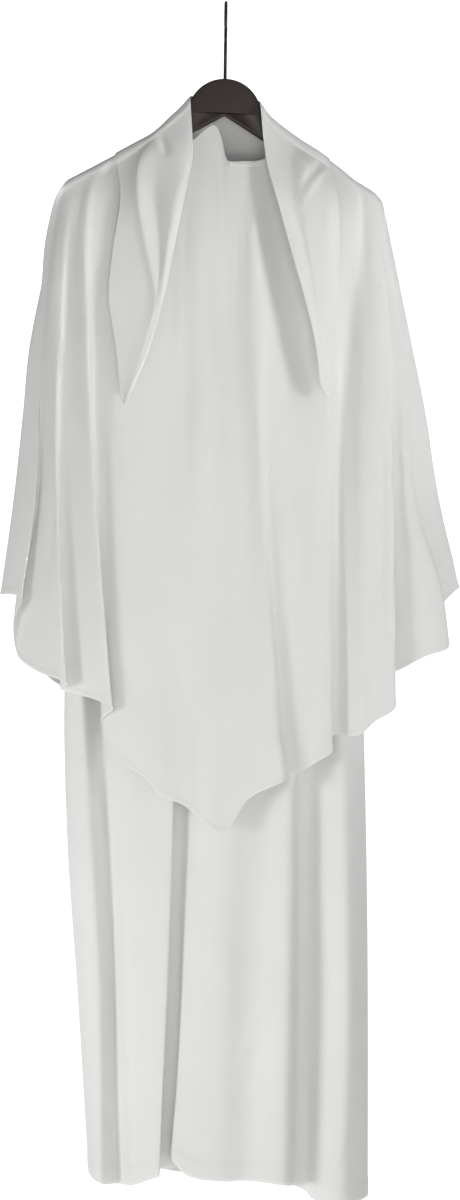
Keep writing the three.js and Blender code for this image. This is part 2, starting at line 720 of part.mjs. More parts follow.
const crepe = new THREE.MeshStandardMaterial({ color: 0xe4e4e1, roughness: 0.85, metalness: 0 });
const darkWood = new THREE.MeshStandardMaterial({ color: 0x2e2220, roughness: 0.45, metalness: 0 });
const blackWire = new THREE.MeshStandardMaterial({ color: 0x161314, roughness: 0.4, metalness: 0.7 });

function named(name, geometry, material) {
  const mesh = new THREE.Mesh(geometry, material);
  mesh.name = name;
  return mesh;
}

const FRONT = -1;
const BACK = 1;

// How finely each panel is made: steps from one fold line to the next, rows round the wood, rows in
// all, and whether the panel's ends are side seams. A long panel is built in bands from its top to
// its hem, each given with its last row.
const MAKING = {
  capeFront: { perFold: 2, rollRows: 3, rows: 19, sideSeams: true, bands: { top: 8, middle: 13, hem: 19 } },
  capeBack: { perFold: 2, rollRows: 3, rows: 13, sideSeams: true, bands: { top: 6, middle: 9, hem: 13 } },
  dressFront: {
    perFold: 2, rollRows: 3, rows: 15, sideSeams: true,
    bands: { top: 6, waist: 9, knee: 12, hem: 15 },
  },
  dressBack: {
    perFold: 2, rollRows: 3, rows: 12, sideSeams: true,
    bands: { top: 5, waist: 7, knee: 9, hem: 12 },
  },
  hoodFront: { perFold: 2, rollRows: 3, rows: 16, sideSeams: false },
  hoodBack: { perFold: 2, rollRows: 3, rows: 8, sideSeams: false },
};

// The pieces of one panel. Where one band ends and the next begins, both draw back half the gap.
function panel(name, grid, side, bands) {
  const ways = offsetWays(grid, side);
  if (!bands) return [named(name, wall(grid, ways, side, CREPE), crepe)];
  const drawnBack = (row, inwards) =>
    row.map((point, c) => point.clone().add(inwards[c].clone().sub(point).setLength(BAND_GAP / 2)));
  let first = 0;
  return Object.entries(bands).map(([band, last]) => {
    const rows = grid.slice(first, last + 1);
    const end = rows.length - 1;
    const cut = [...rows];
    if (first > 0) cut[0] = drawnBack(rows[0], rows[1]);
    if (last < grid.length - 1) cut[end] = drawnBack(rows[end], rows[end - 1]);
    const geometry = wall(cut, ways.slice(first, last + 1), side, CREPE);
    first = last;
    return named(`${name}_${band}`, geometry, crepe);
  });
}

function capeFrontGrid() {
  return panelGrid(CAPE_FRONT, CAPE_LEVELS, FRONT, LAYERS.cape, MAKING.capeFront);
}

function cape() {
  const back = panelGrid(CAPE_BACK, CAPE_LEVELS, BACK, LAYERS.cape, MAKING.capeBack);
  return [
    ...panel("cape_front", capeFrontGrid(), FRONT, MAKING.capeFront.bands),
    ...panel("cape_back", back, BACK, MAKING.capeBack.bands),
  ];
}

function dress() {
  const front = panelGrid(DRESS_FRONT, DRESS_LEVELS, FRONT, LAYERS.dress, MAKING.dressFront);
  const back = panelGrid(DRESS_BACK, DRESS_LEVELS, BACK, LAYERS.dress, MAKING.dressBack);
  return [
    ...panel("dress_front", front, FRONT, MAKING.dressFront.bands),
    ...panel("dress_back", back, BACK, MAKING.dressBack.bands),
  ];
}

function hood() {
  const left = panelGrid(HOOD_LEFT, HOOD_LEVELS, FRONT, LAYERS.hood, MAKING.hoodFront);
  const right = panelGrid(HOOD_RIGHT, HOOD_LEVELS, FRONT, LAYERS.hood, MAKING.hoodFront);
  const behind = panelGrid(HOOD_BACK, HOOD_BACK_LEVELS, BACK, LAYERS.hood, MAKING.hoodBack);
  return [
    ...panel("hood_front_left", left, FRONT),
    ...panel("hood_front_right", right, FRONT),
    ...panel("hood_back", behind, BACK),
  ];
}

// The turned binding along the cape's front neckline, made from the cape's own points moved out
function neckBinding() {
  const grid = capeFrontGrid();
  const columnAt = (name) => MAKING.capeFront.perFold * CAPE_FRONT.findIndex((line) => line.at === name);
  const columns = [];
  for (let c = columnAt("front point"); c <= columnAt("neck corner right"); c += 1) columns.push(c);
  const strip = [0, BINDING_WIDTH / 2, BINDING_WIDTH].map((depth) =>
    columns.map((c) => {
      const z = grid[0][c].z - depth;
      const r = grid.findIndex((row) => row[c].z < z) - 1;
      const [above, below] = [grid[r][c], grid[r + 1][c]];
      return above.clone().lerp(below, (z - above.z) / (below.z - above.z));
    }),
  );
  return named("neck_binding", wall(strip, offsetWays(strip, FRONT), FRONT, BINDING, BINDING_LIFT), crepe);
}

// Outline of the wood from its notch up: a round dome, and two arms with round ends
function woodOutline() {
  const armFall = Math.atan(ARM_SLOPE);
  const endRadius = (ARM_END_HEIGHT * Math.cos(armFall)) / 2;
  const endOut = ARM_REACH - endRadius;
  const end = new THREE.Vector2(endOut, armTopZ(endOut) - NOTCH_Z - ARM_END_HEIGHT / 2);
  const [arcSteps, armSteps] = [6, 5];
  const armOuts = [];
  for (let i = 0; i < armSteps; i += 1) armOuts.push(THREE.MathUtils.lerp(ARM_FROM, endOut, i / armSteps));
  const half = [];
  for (let i = 0; i <= arcSteps; i += 1) {
    const turn = (i / arcSteps) * DOME_SWEEP;
    half.push(new THREE.Vector2(DOME_RADIUS * Math.sin(turn), DOME_RADIUS * Math.cos(turn)));
  }
  half.push(new THREE.Vector2(DOME_FOOT.out, armTopZ(DOME_FOOT.out) - NOTCH_Z + DOME_FOOT.rise));
  for (const out of armOuts) half.push(new THREE.Vector2(out, armTopZ(out) - NOTCH_Z));
  for (let i = 0; i <= arcSteps; i += 1) {
    const turn = Math.PI / 2 - armFall - (Math.PI * i) / arcSteps;
    half.push(new THREE.Vector2(Math.cos(turn), Math.sin(turn)).multiplyScalar(endRadius).add(end));
  }
  for (const out of armOuts.slice(1).reverse()) {
    half.push(new THREE.Vector2(out, armTopZ(out) - NOTCH_Z - armHeight(out)));
  }
  const mirrored = half.slice(1).map((p) => new THREE.Vector2(-p.x, p.y));
  return [...half, new THREE.Vector2(0, 0), ...mirrored.reverse()];
}

function hangerWood() {
  const wood = new THREE.ExtrudeGeometry(new THREE.Shape(woodOutline()), {
    depth: WOOD_CORE,
    bevelThickness: WOOD_EDGE,
    bevelSize: WOOD_ROUND,
    bevelOffset: -WOOD_ROUND,
    bevelSegments: 2,
  });
  wood.translate(0, 0, -WOOD_CORE / 2);
  wood.rotateX(Math.PI / 2);
  return wood;
}

// The wire hook stands edge on to the viewer: a straight shank and a round bend open at the front.
// The inside of the bend's top is at the origin.
function hook() {
  const centre = WIRE_RADIUS - HOOK_BEND;
  const bendSteps = 14;
  const bend = [];
  for (let i = 0; i <= bendSteps; i += 1) {
    const turn = HOOK_SWEEP * ((2 * i) / bendSteps - 1);
    bend.push(new THREE.Vector3(0, HOOK_BEND * Math.sin(turn), centre + HOOK_BEND * Math.cos(turn)));
  }
  const neck = HOOK_NECK.map(({ y, z }) => new THREE.Vector3(0, y, z));
  const foot = new THREE.Vector3(0, 0, NOTCH_Z + DOME_RADIUS + WOOD_GAP);
  const path = new THREE.CatmullRomCurve3([...bend, ...neck, foot], false, "centripetal");
  const section = new THREE.Shape();
  section.absarc(0, 0, WIRE_RADIUS, 0, Math.PI * 2);
  return new THREE.ExtrudeGeometry(section, { steps: 44, curveSegments: 4, extrudePath: path });
}

const wood = named("hanger_wood", hangerWood(), darkWood);
wood.position.set(WOOD_X, 0, NOTCH_Z);
wood.rotation.y = WOOD_TIP;
const wire = named("hanger_hook", hook(), blackWire);
wire.rotation.y = WIRE_LEAN;

const set = new THREE.Group();
set.add(wood, wire, ...dress(), ...cape(), neckBinding(), ...hood());

export default set;
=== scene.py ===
"""A long white crepe dress under a hooded cape, hanging as a set on a dark wooden hanger.

The cloth's tables are in millimetres, as it hangs: +Z up, the viewer faces +Y, and the origin is
the inside of the hanger's hook. Blender's lengths are metres.
"""

import math

import bmesh
import bpy
import numpy as np
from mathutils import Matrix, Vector
from mathutils.geometry import tessellate_polygon


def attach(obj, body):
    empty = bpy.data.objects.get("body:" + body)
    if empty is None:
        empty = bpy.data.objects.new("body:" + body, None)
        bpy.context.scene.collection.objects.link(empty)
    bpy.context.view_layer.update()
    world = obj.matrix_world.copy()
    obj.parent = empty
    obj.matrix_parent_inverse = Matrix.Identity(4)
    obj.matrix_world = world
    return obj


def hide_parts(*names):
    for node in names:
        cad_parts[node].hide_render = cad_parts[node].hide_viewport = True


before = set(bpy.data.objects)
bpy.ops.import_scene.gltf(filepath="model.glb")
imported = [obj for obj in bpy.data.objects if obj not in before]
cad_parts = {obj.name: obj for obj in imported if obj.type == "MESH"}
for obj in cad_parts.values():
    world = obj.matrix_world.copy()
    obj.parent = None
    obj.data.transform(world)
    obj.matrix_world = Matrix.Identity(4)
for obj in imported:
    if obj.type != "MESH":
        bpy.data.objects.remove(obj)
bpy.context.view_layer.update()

MM = 0.001
FRONT, BACK = -1, 1

# Hanger. The wire leans a little on its rail, and the wood tips about its notch
WIRE_LEAN = math.radians(0.7)
WOOD_TIP = math.radians(2.4)
WOOD_X = -2.2
WIRE_RADIUS = 2.2
HOOK_BEND = 25
HOOK_SWEEP = math.radians(112)
HOOK_NECK = [(15.2, -42), (2, -51), (0, -60)]
SHANK_Z = -75.0
SHANK_SINK = 1.5  # how far the shank goes into the dome
BINDING_WIDTH = 7
DOME_RADIUS = 49
DOME_SWEEP = math.radians(86)
DOME_FOOT = (54, 1.5)
NOTCH_Z = -147
ARM_SLOPE = 0.596
ARM_TOP_Z = -123
ARM_SAG = 1
ARM_FROM = 62
ARM_REACH = 205
ARM_END_HEIGHT = 9
WOOD_EDGE = 5
WOOD_ROUND = 3.5
WOOD_CORE = 2
DROOP_FROM = 199
DROOP = 0.03

# Cloth
SEAM_HALF = 0.2  # half the gap where the front and back panels meet
CREPE_HALF = 0.32  # half the thickness of one layer
HEM_HALF = 0.85  # half the thickness of a turned hem
LAYERS = {"dress": (1.5, 11), "cape": (3.8, 13.5), "hood": (6.1, 16.5)}  # lift and roll on the wood
UNEVEN = [((70, 210), 1.5, 0), ((30, 95), 0.55, 100), ((11, 26), 0.14, 200)]  # cell, depth, seed
STITCH = (3.4, 2.4, 0.42)  # pitch, length and width
STITCH_INSET = 1.5  # from the turned hem's upper edge down to its stitches
STITCH_DIP = 0.25
STITCH_LIFT = 0.05

# Stage, in metres
FLOOR_Z = -1.9
NEAR_FLOOR_END = 1.4
BACKDROP_FROM = 11.0
BEND_RADIUS = 1.2
BACKDROP_TOP = 6.0
FLOOR_FRONT = -12.0
PAPER_HALF_WIDTH = 12.0
CAMERA_PLACE = (0.00528, -3.6, -0.786)
CAMERA_LENS = 81.8  # millimetres, on a sensor 36 mm wide


def fold(at, top, hem, x, y, start=None, turn=0):
    """One line of cloth from its top edge to its hem. at says which, top is its place across the
    shoulders, x and y its place at each level, start its height and depth where it doesn't start
    on the hanger's ridge, and turn how far round the wood it starts, in degrees."""
    return {"at": at, "top": top, "hem": hem, "x": x, "y": y, "start": start, "turn": turn}


# The cape's two panels
CAPE_LEVELS = [-260, -450, -540, -650, -780, -920]
CAPE_FRONT = [
    fold("left side", top=-211, hem=-779, x=[-236, -259, -268, -280, -298, -318], y=[0, 0, 0, 0, 0, 0]),
    fold("outer fold, left", top=-209, hem=-783,
         x=[-226, -243, -246, -250.5, -268, -285], y=[8, 13, 18, 25, 31, 34]),
    fold("behind outer fold", top=-206, hem=-815,
         x=[-219, -239, -244.5, -250.5, -276, -286], y=[10, 16.5, 16.5, 18, 17, 17]),
    fold("second fold tuck", top=-203, hem=-858,
         x=[-216, -235.5, -240.5, -245, -270, -276], y=[12, 20.5, 18, 16, 9, 8]),
    fold("second fold side", top=-199, hem=-878,
         x=[-212, -231, -235, -239, -247, -250], y=[15, 26, 27, 28, 28, 32]),
    fold("second fold edge", top=-193, hem=-894,
         x=[-205, -217, -221, -220, -214, -206], y=[18, 34, 41, 48, 56, 61]),
    fold("behind second fold", top=-187, hem=-903,
         x=[-198, -213, -219, -222, -220, -216], y=[20, 28, 30, 32, 36, 36]),
    fold("third fold side", top=-181, hem=-907,
         x=[-191, -204, -207, -208, -206, -201], y=[22, 31, 32, 34, 36, 38]),
    fold("third fold edge", top=-171, hem=-926,
         x=[-181, -180, -176, -169, -160, -148], y=[26, 44, 50, 56, 62, 66]),
    fold("behind third fold", top=-161, hem=-943,
         x=[-171, -174, -174, -172, -169, -163], y=[25, 31, 32, 34, 37, 42]),
    fold("body's left side", top=-151, hem=-976,
         x=[-160, -162, -161, -159, -157, -156], y=[25, 32, 34, 36, 39, 42]),
    fold("body left", top=-137, hem=-992,
         x=[-144, -146, -146, -145, -145, -145], y=[28, 37, 40, 42, 46, 50]),
    fold("beside hood tip", top=-105, hem=-1013,
         x=[-114, -117, -117, -116, -114, -112], y=[28, 37, 42, 47, 53, 58]),
    fold("neck side left", top=-70, hem=-1036,
         x=[-82, -86, -87, -88, -88, -88], y=[27, 36, 40, 46, 53, 60]),
    fold("over the wood left", top=-64, hem=-1044, turn=45,
         x=[-70, -73, -74, -75, -75, -74], y=[26, 35, 39, 45, 52, 59]),
    fold("down its front left", top=-58, hem=-1050, turn=85,
         x=[-60, -62, -63, -63, -63, -61], y=[26, 35, 39, 45, 52, 59]),
    fold("neck corner left", top=-49, hem=-1058, start=(-182, 10),
         x=[-48, -49, -50, -50, -50, -48], y=[25, 35, 39, 45, 52, 60]),
    fold("neck left", top=-30, hem=-1067, start=(-169, 6),
         x=[-34, -36, -36, -37, -38, -37], y=[26, 37, 42, 47, 53, 61]),
    fold("neck peak", top=-15, hem=-1077, start=(-160, 4),
         x=[-20, -23, -24, -24, -24, -24], y=[27, 38, 43, 48, 54, 63]),
    fold("neck curve", top=-5, hem=-1086, start=(-181, 10),
         x=[-8, -10, -10, -11, -12, -12], y=[28, 40, 44, 49, 55, 64]),
    fold("front point", top=3, hem=-1086, start=(-209, 19),
         x=[4, 3, 3, 2, 1, 1], y=[29, 42, 46, 50, 55, 64]),
    fold("front right", top=24, hem=-1043, start=(-210, 20),
         x=[22, 22, 24, 27, 28, 29], y=[30, 44, 48, 51, 56, 66]),
    fold("centre fold", top=36, hem=-1021, start=(-210, 19),
         x=[36, 40, 43, 48, 55, 66], y=[30, 46, 51, 55, 62, 71]),
    fold("hollow beside it", top=46, hem=-1017, start=(-208, 18),
         x=[46, 52, 52, 55, 62, 73], y=[26, 41, 45, 45, 50, 54]),
    fold("neck corner right", top=56, hem=-1010, start=(-202, 16),
         x=[56, 68, 70, 73, 80, 89], y=[21, 33, 44, 46, 51, 55]),
    fold("down its front right", top=65, hem=-1003, turn=85,
         x=[67, 83, 86, 90, 96, 104], y=[19, 27, 43, 47, 52, 56]),
    fold("over the wood right", top=73, hem=-997, turn=45,
         x=[78, 95, 98, 101, 106, 113], y=[19, 25, 43, 48, 53, 58]),
    fold("neck side right", top=82, hem=-991,
         x=[92, 106, 109, 112, 117, 124], y=[20, 26, 43, 49, 54, 59]),
    fold("under the hood", top=106, hem=-984,
         x=[114, 122, 124, 125, 129, 135], y=[25, 34, 43, 48, 53, 58]),
    fold("right body", top=142, hem=-966, start=(-209.5, 0),
         x=[144, 138, 136, 135, 135, 137], y=[26, 37, 41, 45, 50, 56]),
    fold("deep hollow", top=168, hem=-962, x=[172, 158, 152, 148, 146, 145], y=[20, 24, 26, 28, 31, 35]),
    fold("right fold", top=179, hem=-961, x=[184, 181, 178, 176, 175, 175], y=[19, 33, 39, 45, 50, 54]),
    fold("crease", top=184, hem=-946, x=[189, 199, 198, 196, 194, 192], y=[18, 35, 41, 47, 51, 53]),
    fold("right fold edge", top=188, hem=-926,
         x=[193, 212, 214, 216, 219, 220], y=[16, 30, 38, 46, 53, 56]),
    fold("tuck behind right fold", top=191.5, hem=-888,
         x=[195.5, 216, 215, 214, 209, 206], y=[13, 23, 26, 28, 29, 29]),
    fold("outer fold's inner side", top=194, hem=-876,
         x=[197.8, 221, 224, 227, 230, 232], y=[11, 21, 25, 28, 31, 33]),
    fold("outer fold, right", top=196.5, hem=-859,
         x=[200, 228, 232, 236, 257, 266], y=[9, 18, 25, 31, 37, 40]),
    fold("outer fold edge, right", top=201.5, hem=-847,
         x=[205, 233, 240, 246, 284, 298], y=[7, 14, 20, 26, 31, 33]),
    fold("tuck behind outer fold", top=204.5, hem=-803,
         x=[208, 238, 244, 250, 276, 287], y=[4, 10, 11, 11, 11, 12]),
    fold("right side", top=207, hem=-770,
         x=[215, 245.5, 263.5, 280.5, 309.5, 326], y=[0, 0, 0, 0, 0, 0]),
]
CAPE_BACK = [
    fold("left side", top=-211, hem=-779, x=[-236, -259, -268, -280, -298, -318], y=[0, 0, 0, 0, 0, 0]),
    fold("left back fold", top=-204, hem=-786,
         x=[-221, -246, -252, -258, -270, -276], y=[11, 24, 30, 36, 43, 48]),
    fold("left hollow", top=-190, hem=-878,
         x=[-204, -223, -229, -233, -240, -247], y=[17, 22, 23, 24, 25, 26]),
    fold("left blade fold", top=-163, hem=-914,
         x=[-174, -182, -186, -190, -195, -200], y=[22, 38, 45, 52, 60, 66]),
    fold("hollow, left", top=-120, hem=-940,
         x=[-128, -136, -139, -142, -146, -150], y=[22, 30, 31, 32, 34, 36]),
    fold("neck side left", top=-72, hem=-968,
         x=[-84, -92, -94, -96, -99, -102], y=[24, 37, 43, 51, 60, 66]),
    fold("over the wood left", top=-64, hem=-980, turn=42,
         x=[-66, -72, -74, -75, -77, -78], y=[24, 36, 41, 47, 53, 58]),
    fold("behind the wood left", top=-57, hem=-990, turn=88,
         x=[-50, -52, -53, -54, -55, -56], y=[23, 32, 35, 37, 40, 43]),
    fold("nape left", top=-34, hem=-1000, start=(-156, 14),
         x=[-26, -26, -26, -27, -27, -28], y=[24, 36, 42, 48, 55, 60]),
    fold("nape", top=0, hem=-1006, x=[6, 8, 8, 8, 8, 8], y=[25, 35, 38, 40, 43, 46], start=(-142, 14)),
    fold("nape right", top=32, hem=-998, start=(-154, 14),
         x=[36, 40, 41, 42, 44, 46], y=[26, 38, 45, 53, 62, 68]),
    fold("behind the wood right", top=62, hem=-986, turn=88,
         x=[60, 66, 68, 71, 74, 77], y=[23, 32, 35, 37, 39, 41]),
    fold("over the wood right", top=70, hem=-976, turn=42,
         x=[78, 86, 89, 92, 96, 100], y=[23, 36, 41, 46, 52, 56]),
    fold("neck side right", top=78, hem=-962,
         x=[94, 104, 107, 111, 117, 122], y=[23, 37, 43, 51, 59, 64]),
    fold("hollow, right", top=118, hem=-930,
         x=[128, 136, 140, 146, 152, 158], y=[22, 29, 30, 30, 31, 32]),
    fold("right blade fold", top=157, hem=-890,
         x=[162, 173, 180, 187, 195, 202], y=[21, 38, 45, 52, 60, 65]),
    fold("right hollow", top=180, hem=-846, x=[184, 204, 213, 222, 234, 244], y=[16, 21, 22, 22, 23, 24]),
    fold("right back fold", top=195, hem=-790,
         x=[196, 230, 243, 254, 276, 284], y=[9, 22, 27, 33, 39, 43]),
    fold("right side", top=207, hem=-770,
         x=[215, 245.5, 263.5, 280.5, 309.5, 326], y=[0, 0, 0, 0, 0, 0]),
]

# The dress's two panels
DRESS_LEVELS = [-260, -420, -700, -905, -1100, -1300, -1545]
DRESS_FRONT = [
    fold("left side and armhole", top=-190, hem=-1541,
         x=[-174, -180, -200, -213, -209.5, -196, -181], y=[15, 0, 0, 0, 0, 0, 0]),
    fold("left ridge", top=-172, hem=-1549,
         x=[-166, -168, -184, -190, -178, -166, -163], y=[15, 15, 17, 26, 31, 32, 36]),
    fold("left hollow", top=-150, hem=-1553,
         x=[-150, -152, -166, -170, -158, -150, -144], y=[16, 18, 13, 11, 9, 10, 14]),
    fold("second panel side", top=-125, hem=-1549,
         x=[-128, -128, -130, -130, -129, -128, -122], y=[16, 19, 21, 29, 36, 40, 44]),
    fold("second panel", top=-100, hem=-1541,
         x=[-102, -100, -98, -98, -99, -102, -104], y=[16, 19, 23, 35, 45, 51, 57]),
    fold("second panel edge", top=-80, hem=-1533,
         x=[-84, -80, -70, -66, -69, -76, -87], y=[16, 19, 24, 38, 50, 57, 64]),
    fold("tuck behind second panel", top=-74, hem=-1529, turn=42,
         x=[-75, -74, -73, -74, -78, -85, -94], y=[15, 17, 18, 24, 31, 36, 42]),
    fold("hollow floor", top=-68, hem=-1527, turn=88,
         x=[-65, -62, -59, -58, -58, -62, -64], y=[14, 16, 17, 22, 28, 33, 39]),
    fold("middle panel edge", top=-50, hem=-1514, start=(-205, 13),
         x=[-44, -44, -46, -48, -48, -56, -74], y=[15, 18, 19, 26, 35, 44, 51]),
    fold("middle panel left", top=-22, hem=-1534, start=(-232, 14),
         x=[-20, -20, -26, -28, -30, -36, -50], y=[15, 19, 23, 34, 46, 54, 60]),
    fold("middle panel", top=8, hem=-1540, start=(-234, 14),
         x=[8, 8, 4, 4, 2, -2, -8], y=[15, 19, 25, 39, 51, 59, 65]),
    fold("faint hollow", top=30, hem=-1540, start=(-234, 14),
         x=[30, 36, 45, 48, 47, 40, 28], y=[15, 18, 23, 35, 46, 54, 60]),
    fold("middle panel ridge", top=54, hem=-1544, start=(-224, 13.5),
         x=[58, 66, 82, 88, 85, 82, 77], y=[15, 19, 25, 39, 54, 63, 71]),
    fold("tuck behind middle panel", top=72, hem=-1553, turn=88,
         x=[74, 80, 94, 98, 96, 94, 90], y=[15, 17, 17, 17, 20, 24, 29]),
    fold("right hollow", top=80, hem=-1561, turn=42,
         x=[86, 92, 106, 110, 109, 107, 105], y=[16, 17, 16, 15, 17, 20, 25]),
    fold("soft ridge", top=96, hem=-1570,
         x=[104, 110, 123, 127, 128, 127, 118], y=[16, 18, 18, 21, 26, 31, 37]),
    fold("right panel", top=140, hem=-1572,
         x=[140, 140, 148, 152, 157, 160, 153], y=[16, 16, 20, 29, 38, 45, 53]),
    fold("right side and armhole", top=178, hem=-1571,
         x=[160, 158, 170, 180, 185, 187, 187], y=[15, 0, 0, 0, 0, 0, 0]),
]
DRESS_BACK = [
    fold("left side and armhole", top=-190, hem=-1541,
         x=[-174, -180, -200, -213, -209.5, -196, -181], y=[14, 0, 0, 0, 0, 0, 0]),
    fold("left back ridge", top=-160, hem=-1547,
         x=[-158, -160, -176, -180, -172, -160, -150], y=[14, 15, 18, 24, 34, 44, 52]),
    fold("left hollow", top=-118, hem=-1548,
         x=[-120, -122, -134, -140, -134, -126, -118], y=[14, 15, 14, 15, 17, 18, 20]),
    fold("left panel", top=-92, hem=-1549,
         x=[-96, -98, -104, -106, -102, -98, -94], y=[14, 16, 19, 26, 40, 54, 64]),
    fold("over the wood left", top=-80, hem=-1548, turn=42,
         x=[-78, -80, -84, -86, -80, -74, -70], y=[14, 16, 17, 20, 27, 33, 38]),
    fold("behind the wood left", top=-72, hem=-1546, turn=88,
         x=[-62, -62, -62, -62, -58, -54, -50], y=[14, 16, 15, 17, 20, 22, 25]),
    fold("nape left", top=-44, hem=-1548, start=(-212, 12.5),
         x=[-36, -36, -34, -32, -30, -28, -26], y=[14, 16, 20, 28, 42, 56, 66]),
    fold("nape", top=0, hem=-1546, start=(-229, 12.5),
         x=[0, 2, 4, 8, 10, 12, 14], y=[13, 16, 16, 18, 22, 26, 30]),
    fold("nape right", top=44, hem=-1550, start=(-226, 12.5),
         x=[36, 40, 44, 46, 48, 50, 52], y=[13, 16, 19, 26, 38, 50, 60]),
    fold("behind the wood right", top=72, hem=-1555, turn=88,
         x=[62, 66, 74, 78, 82, 84, 86], y=[14, 16, 15, 17, 19, 21, 24]),
    fold("over the wood right", top=82, hem=-1561, turn=42,
         x=[80, 84, 96, 102, 106, 108, 110], y=[14, 16, 18, 24, 34, 44, 52]),
    fold("right hollow", top=96, hem=-1566,
         x=[102, 106, 124, 132, 136, 138, 138], y=[14, 15, 14, 15, 17, 19, 22]),
    fold("right back ridge", top=140, hem=-1570,
         x=[134, 134, 150, 158, 163, 166, 164], y=[14, 14, 16, 23, 32, 40, 47]),
    fold("right side and armhole", top=178, hem=-1571,
         x=[160, 158, 170, 180, 185, 187, 187], y=[14, 0, 0, 0, 0, 0, 0]),
]

# The hood: its two front ends, which end in points on the chest, and its back
HOOD_LEVELS = [-215, -260, -324, -390, -450, -530]
HOOD_LEFT = [
    fold("outer edge", top=-146, hem=-521,
         x=[-132, -138, -148, -154, -145, -135.5], y=[33, 36, 40, 43, 46, 50]),
    fold("outer panel", top=-137, hem=-529,
         x=[-128.5, -128, -127, -124, -124, -133.5], y=[34, 40, 45, 48, 50, 52]),
    fold("tuck", top=-128, hem=-532,
         x=[-127, -121, -112, -101, -112, -132], y=[35, 43, 49, 52, 53, 53.5]),
    fold("cowl ridge", top=-121, hem=-531,
         x=[-124, -115, -104, -92.5, -106, -131], y=[39, 48, 54, 56, 54.5, 54.5]),
    fold("cowl hollow", top=-96, hem=-528, start=(-168.6, 0),
         x=[-113, -97, -86, -89.5, -103, -130.2], y=[31, 38, 48, 56, 54.8, 54.6]),
    fold("neck side", top=-73, hem=-525, start=(-147.5, 0),
         x=[-80, -81, -81, -87, -101, -129.5], y=[34, 44, 52, 56.2, 54.9, 54.8]),
    fold("inner side", top=-60, hem=-520, start=(-135.5, 0),
         x=[-58, -65, -75, -84, -98.8, -128.6], y=[38, 49, 55.5, 55.8, 54.7, 54.7]),
    fold("inner edge", top=-47, hem=-513, start=(-121, 0),
         x=[-44.5, -54, -67, -80.5, -96.5, -127.5], y=[35, 45, 52, 54.3, 54, 54.4]),
]
HOOD_RIGHT = [
    fold("inner edge", top=44.5, hem=-505, start=(-128, 0),
         x=[53.5, 65, 82, 101, 115.5, 124.5], y=[37, 54, 61, 63, 63, 61]),
    fold("inner side", top=59, hem=-511, start=(-147.5, 0),
         x=[65, 73, 89, 106, 118, 126], y=[34, 50, 58, 62, 62.5, 60]),
    fold("crease", top=80, hem=-516, start=(-165, 0),
         x=[84, 86, 100, 113, 121.5, 127.8], y=[32, 44.5, 53.5, 59, 61, 59]),
    fold("soft ridge", top=103, hem=-520, start=(-181, 0),
         x=[105, 102, 110, 119, 125.5, 129.5], y=[36, 47.5, 54.5, 58.5, 59.5, 58.5]),
    fold("outer ridge", top=121, hem=-520, start=(-192.5, 0),
         x=[130, 133, 135, 134, 132, 131.5], y=[36, 44, 50, 54, 56, 57]),
    fold("outer edge", top=136, hem=-514, start=(-203, 0),
         x=[141, 146, 148, 146, 142, 135.5], y=[32, 36, 41, 46, 50, 54]),
]
HOOD_BACK_LEVELS = [-180, -260, -330, -390]
HOOD_BACK = [
    fold("left end", top=-146, hem=-250, x=[-148, -156, -158, -160], y=[21, 30, 38, 44]),
    fold("left shoulder", top=-119, hem=-318, x=[-122, -132, -136, -138], y=[21, 37, 50, 58]),
    fold("left hollow", top=-90, hem=-362, start=(-164.6, 0),
         x=[-98, -104, -108, -110], y=[22, 34, 42, 48]),
    fold("neck side left", top=-73, hem=-380, start=(-147.5, 0),
         x=[-76, -84, -88, -91], y=[22, 37, 48, 55]),
    fold("left fold", top=-60, hem=-388, x=[-62, -68, -70, -72], y=[24, 42, 56, 64], start=(-135.5, 0)),
    fold("left inner", top=-47, hem=-402, x=[-44, -42, -42, -43], y=[20, 37, 47, 54], start=(-121, 0)),
    fold("dome edge left", top=-41, hem=-406, start=(-120.5, 10.5),
         x=[-30, -26, -26, -27], y=[21, 41, 53, 61]),
    fold("behind the dome left", top=-26, hem=-410, start=(-118, 17),
         x=[-12, -8, -8, -9], y=[23, 43, 55, 62]),
    fold("nape", top=0, hem=-412, x=[8, 13, 14, 15], y=[24, 39, 48, 54], start=(-117, 18)),
    fold("behind the dome right", top=22, hem=-407, start=(-121, 17),
         x=[28, 34, 36, 38], y=[23, 43, 57, 65]),
    fold("dome edge right", top=38.5, hem=-401, x=[43, 52, 56, 59], y=[21, 38, 50, 57], start=(-126, 10)),
    fold("right inner", top=44.5, hem=-396, x=[56, 66, 69, 72], y=[20, 36, 46, 53], start=(-128, 0)),
    fold("right fold", top=59, hem=-380, x=[76, 90, 94, 98], y=[22, 42, 55, 62], start=(-147.5, 0)),
    fold("neck side right", top=80, hem=-364, x=[90, 102, 107, 111], y=[22, 38, 48, 55], start=(-165, 0)),
    fold("right hollow", top=103, hem=-338, x=[108, 118, 124, 128], y=[21, 33, 40, 46], start=(-181, 0)),
    fold("right end", top=136, hem=-258, x=[134, 142, 146, 150], y=[18, 28, 38, 44], start=(-203, 0)),
]


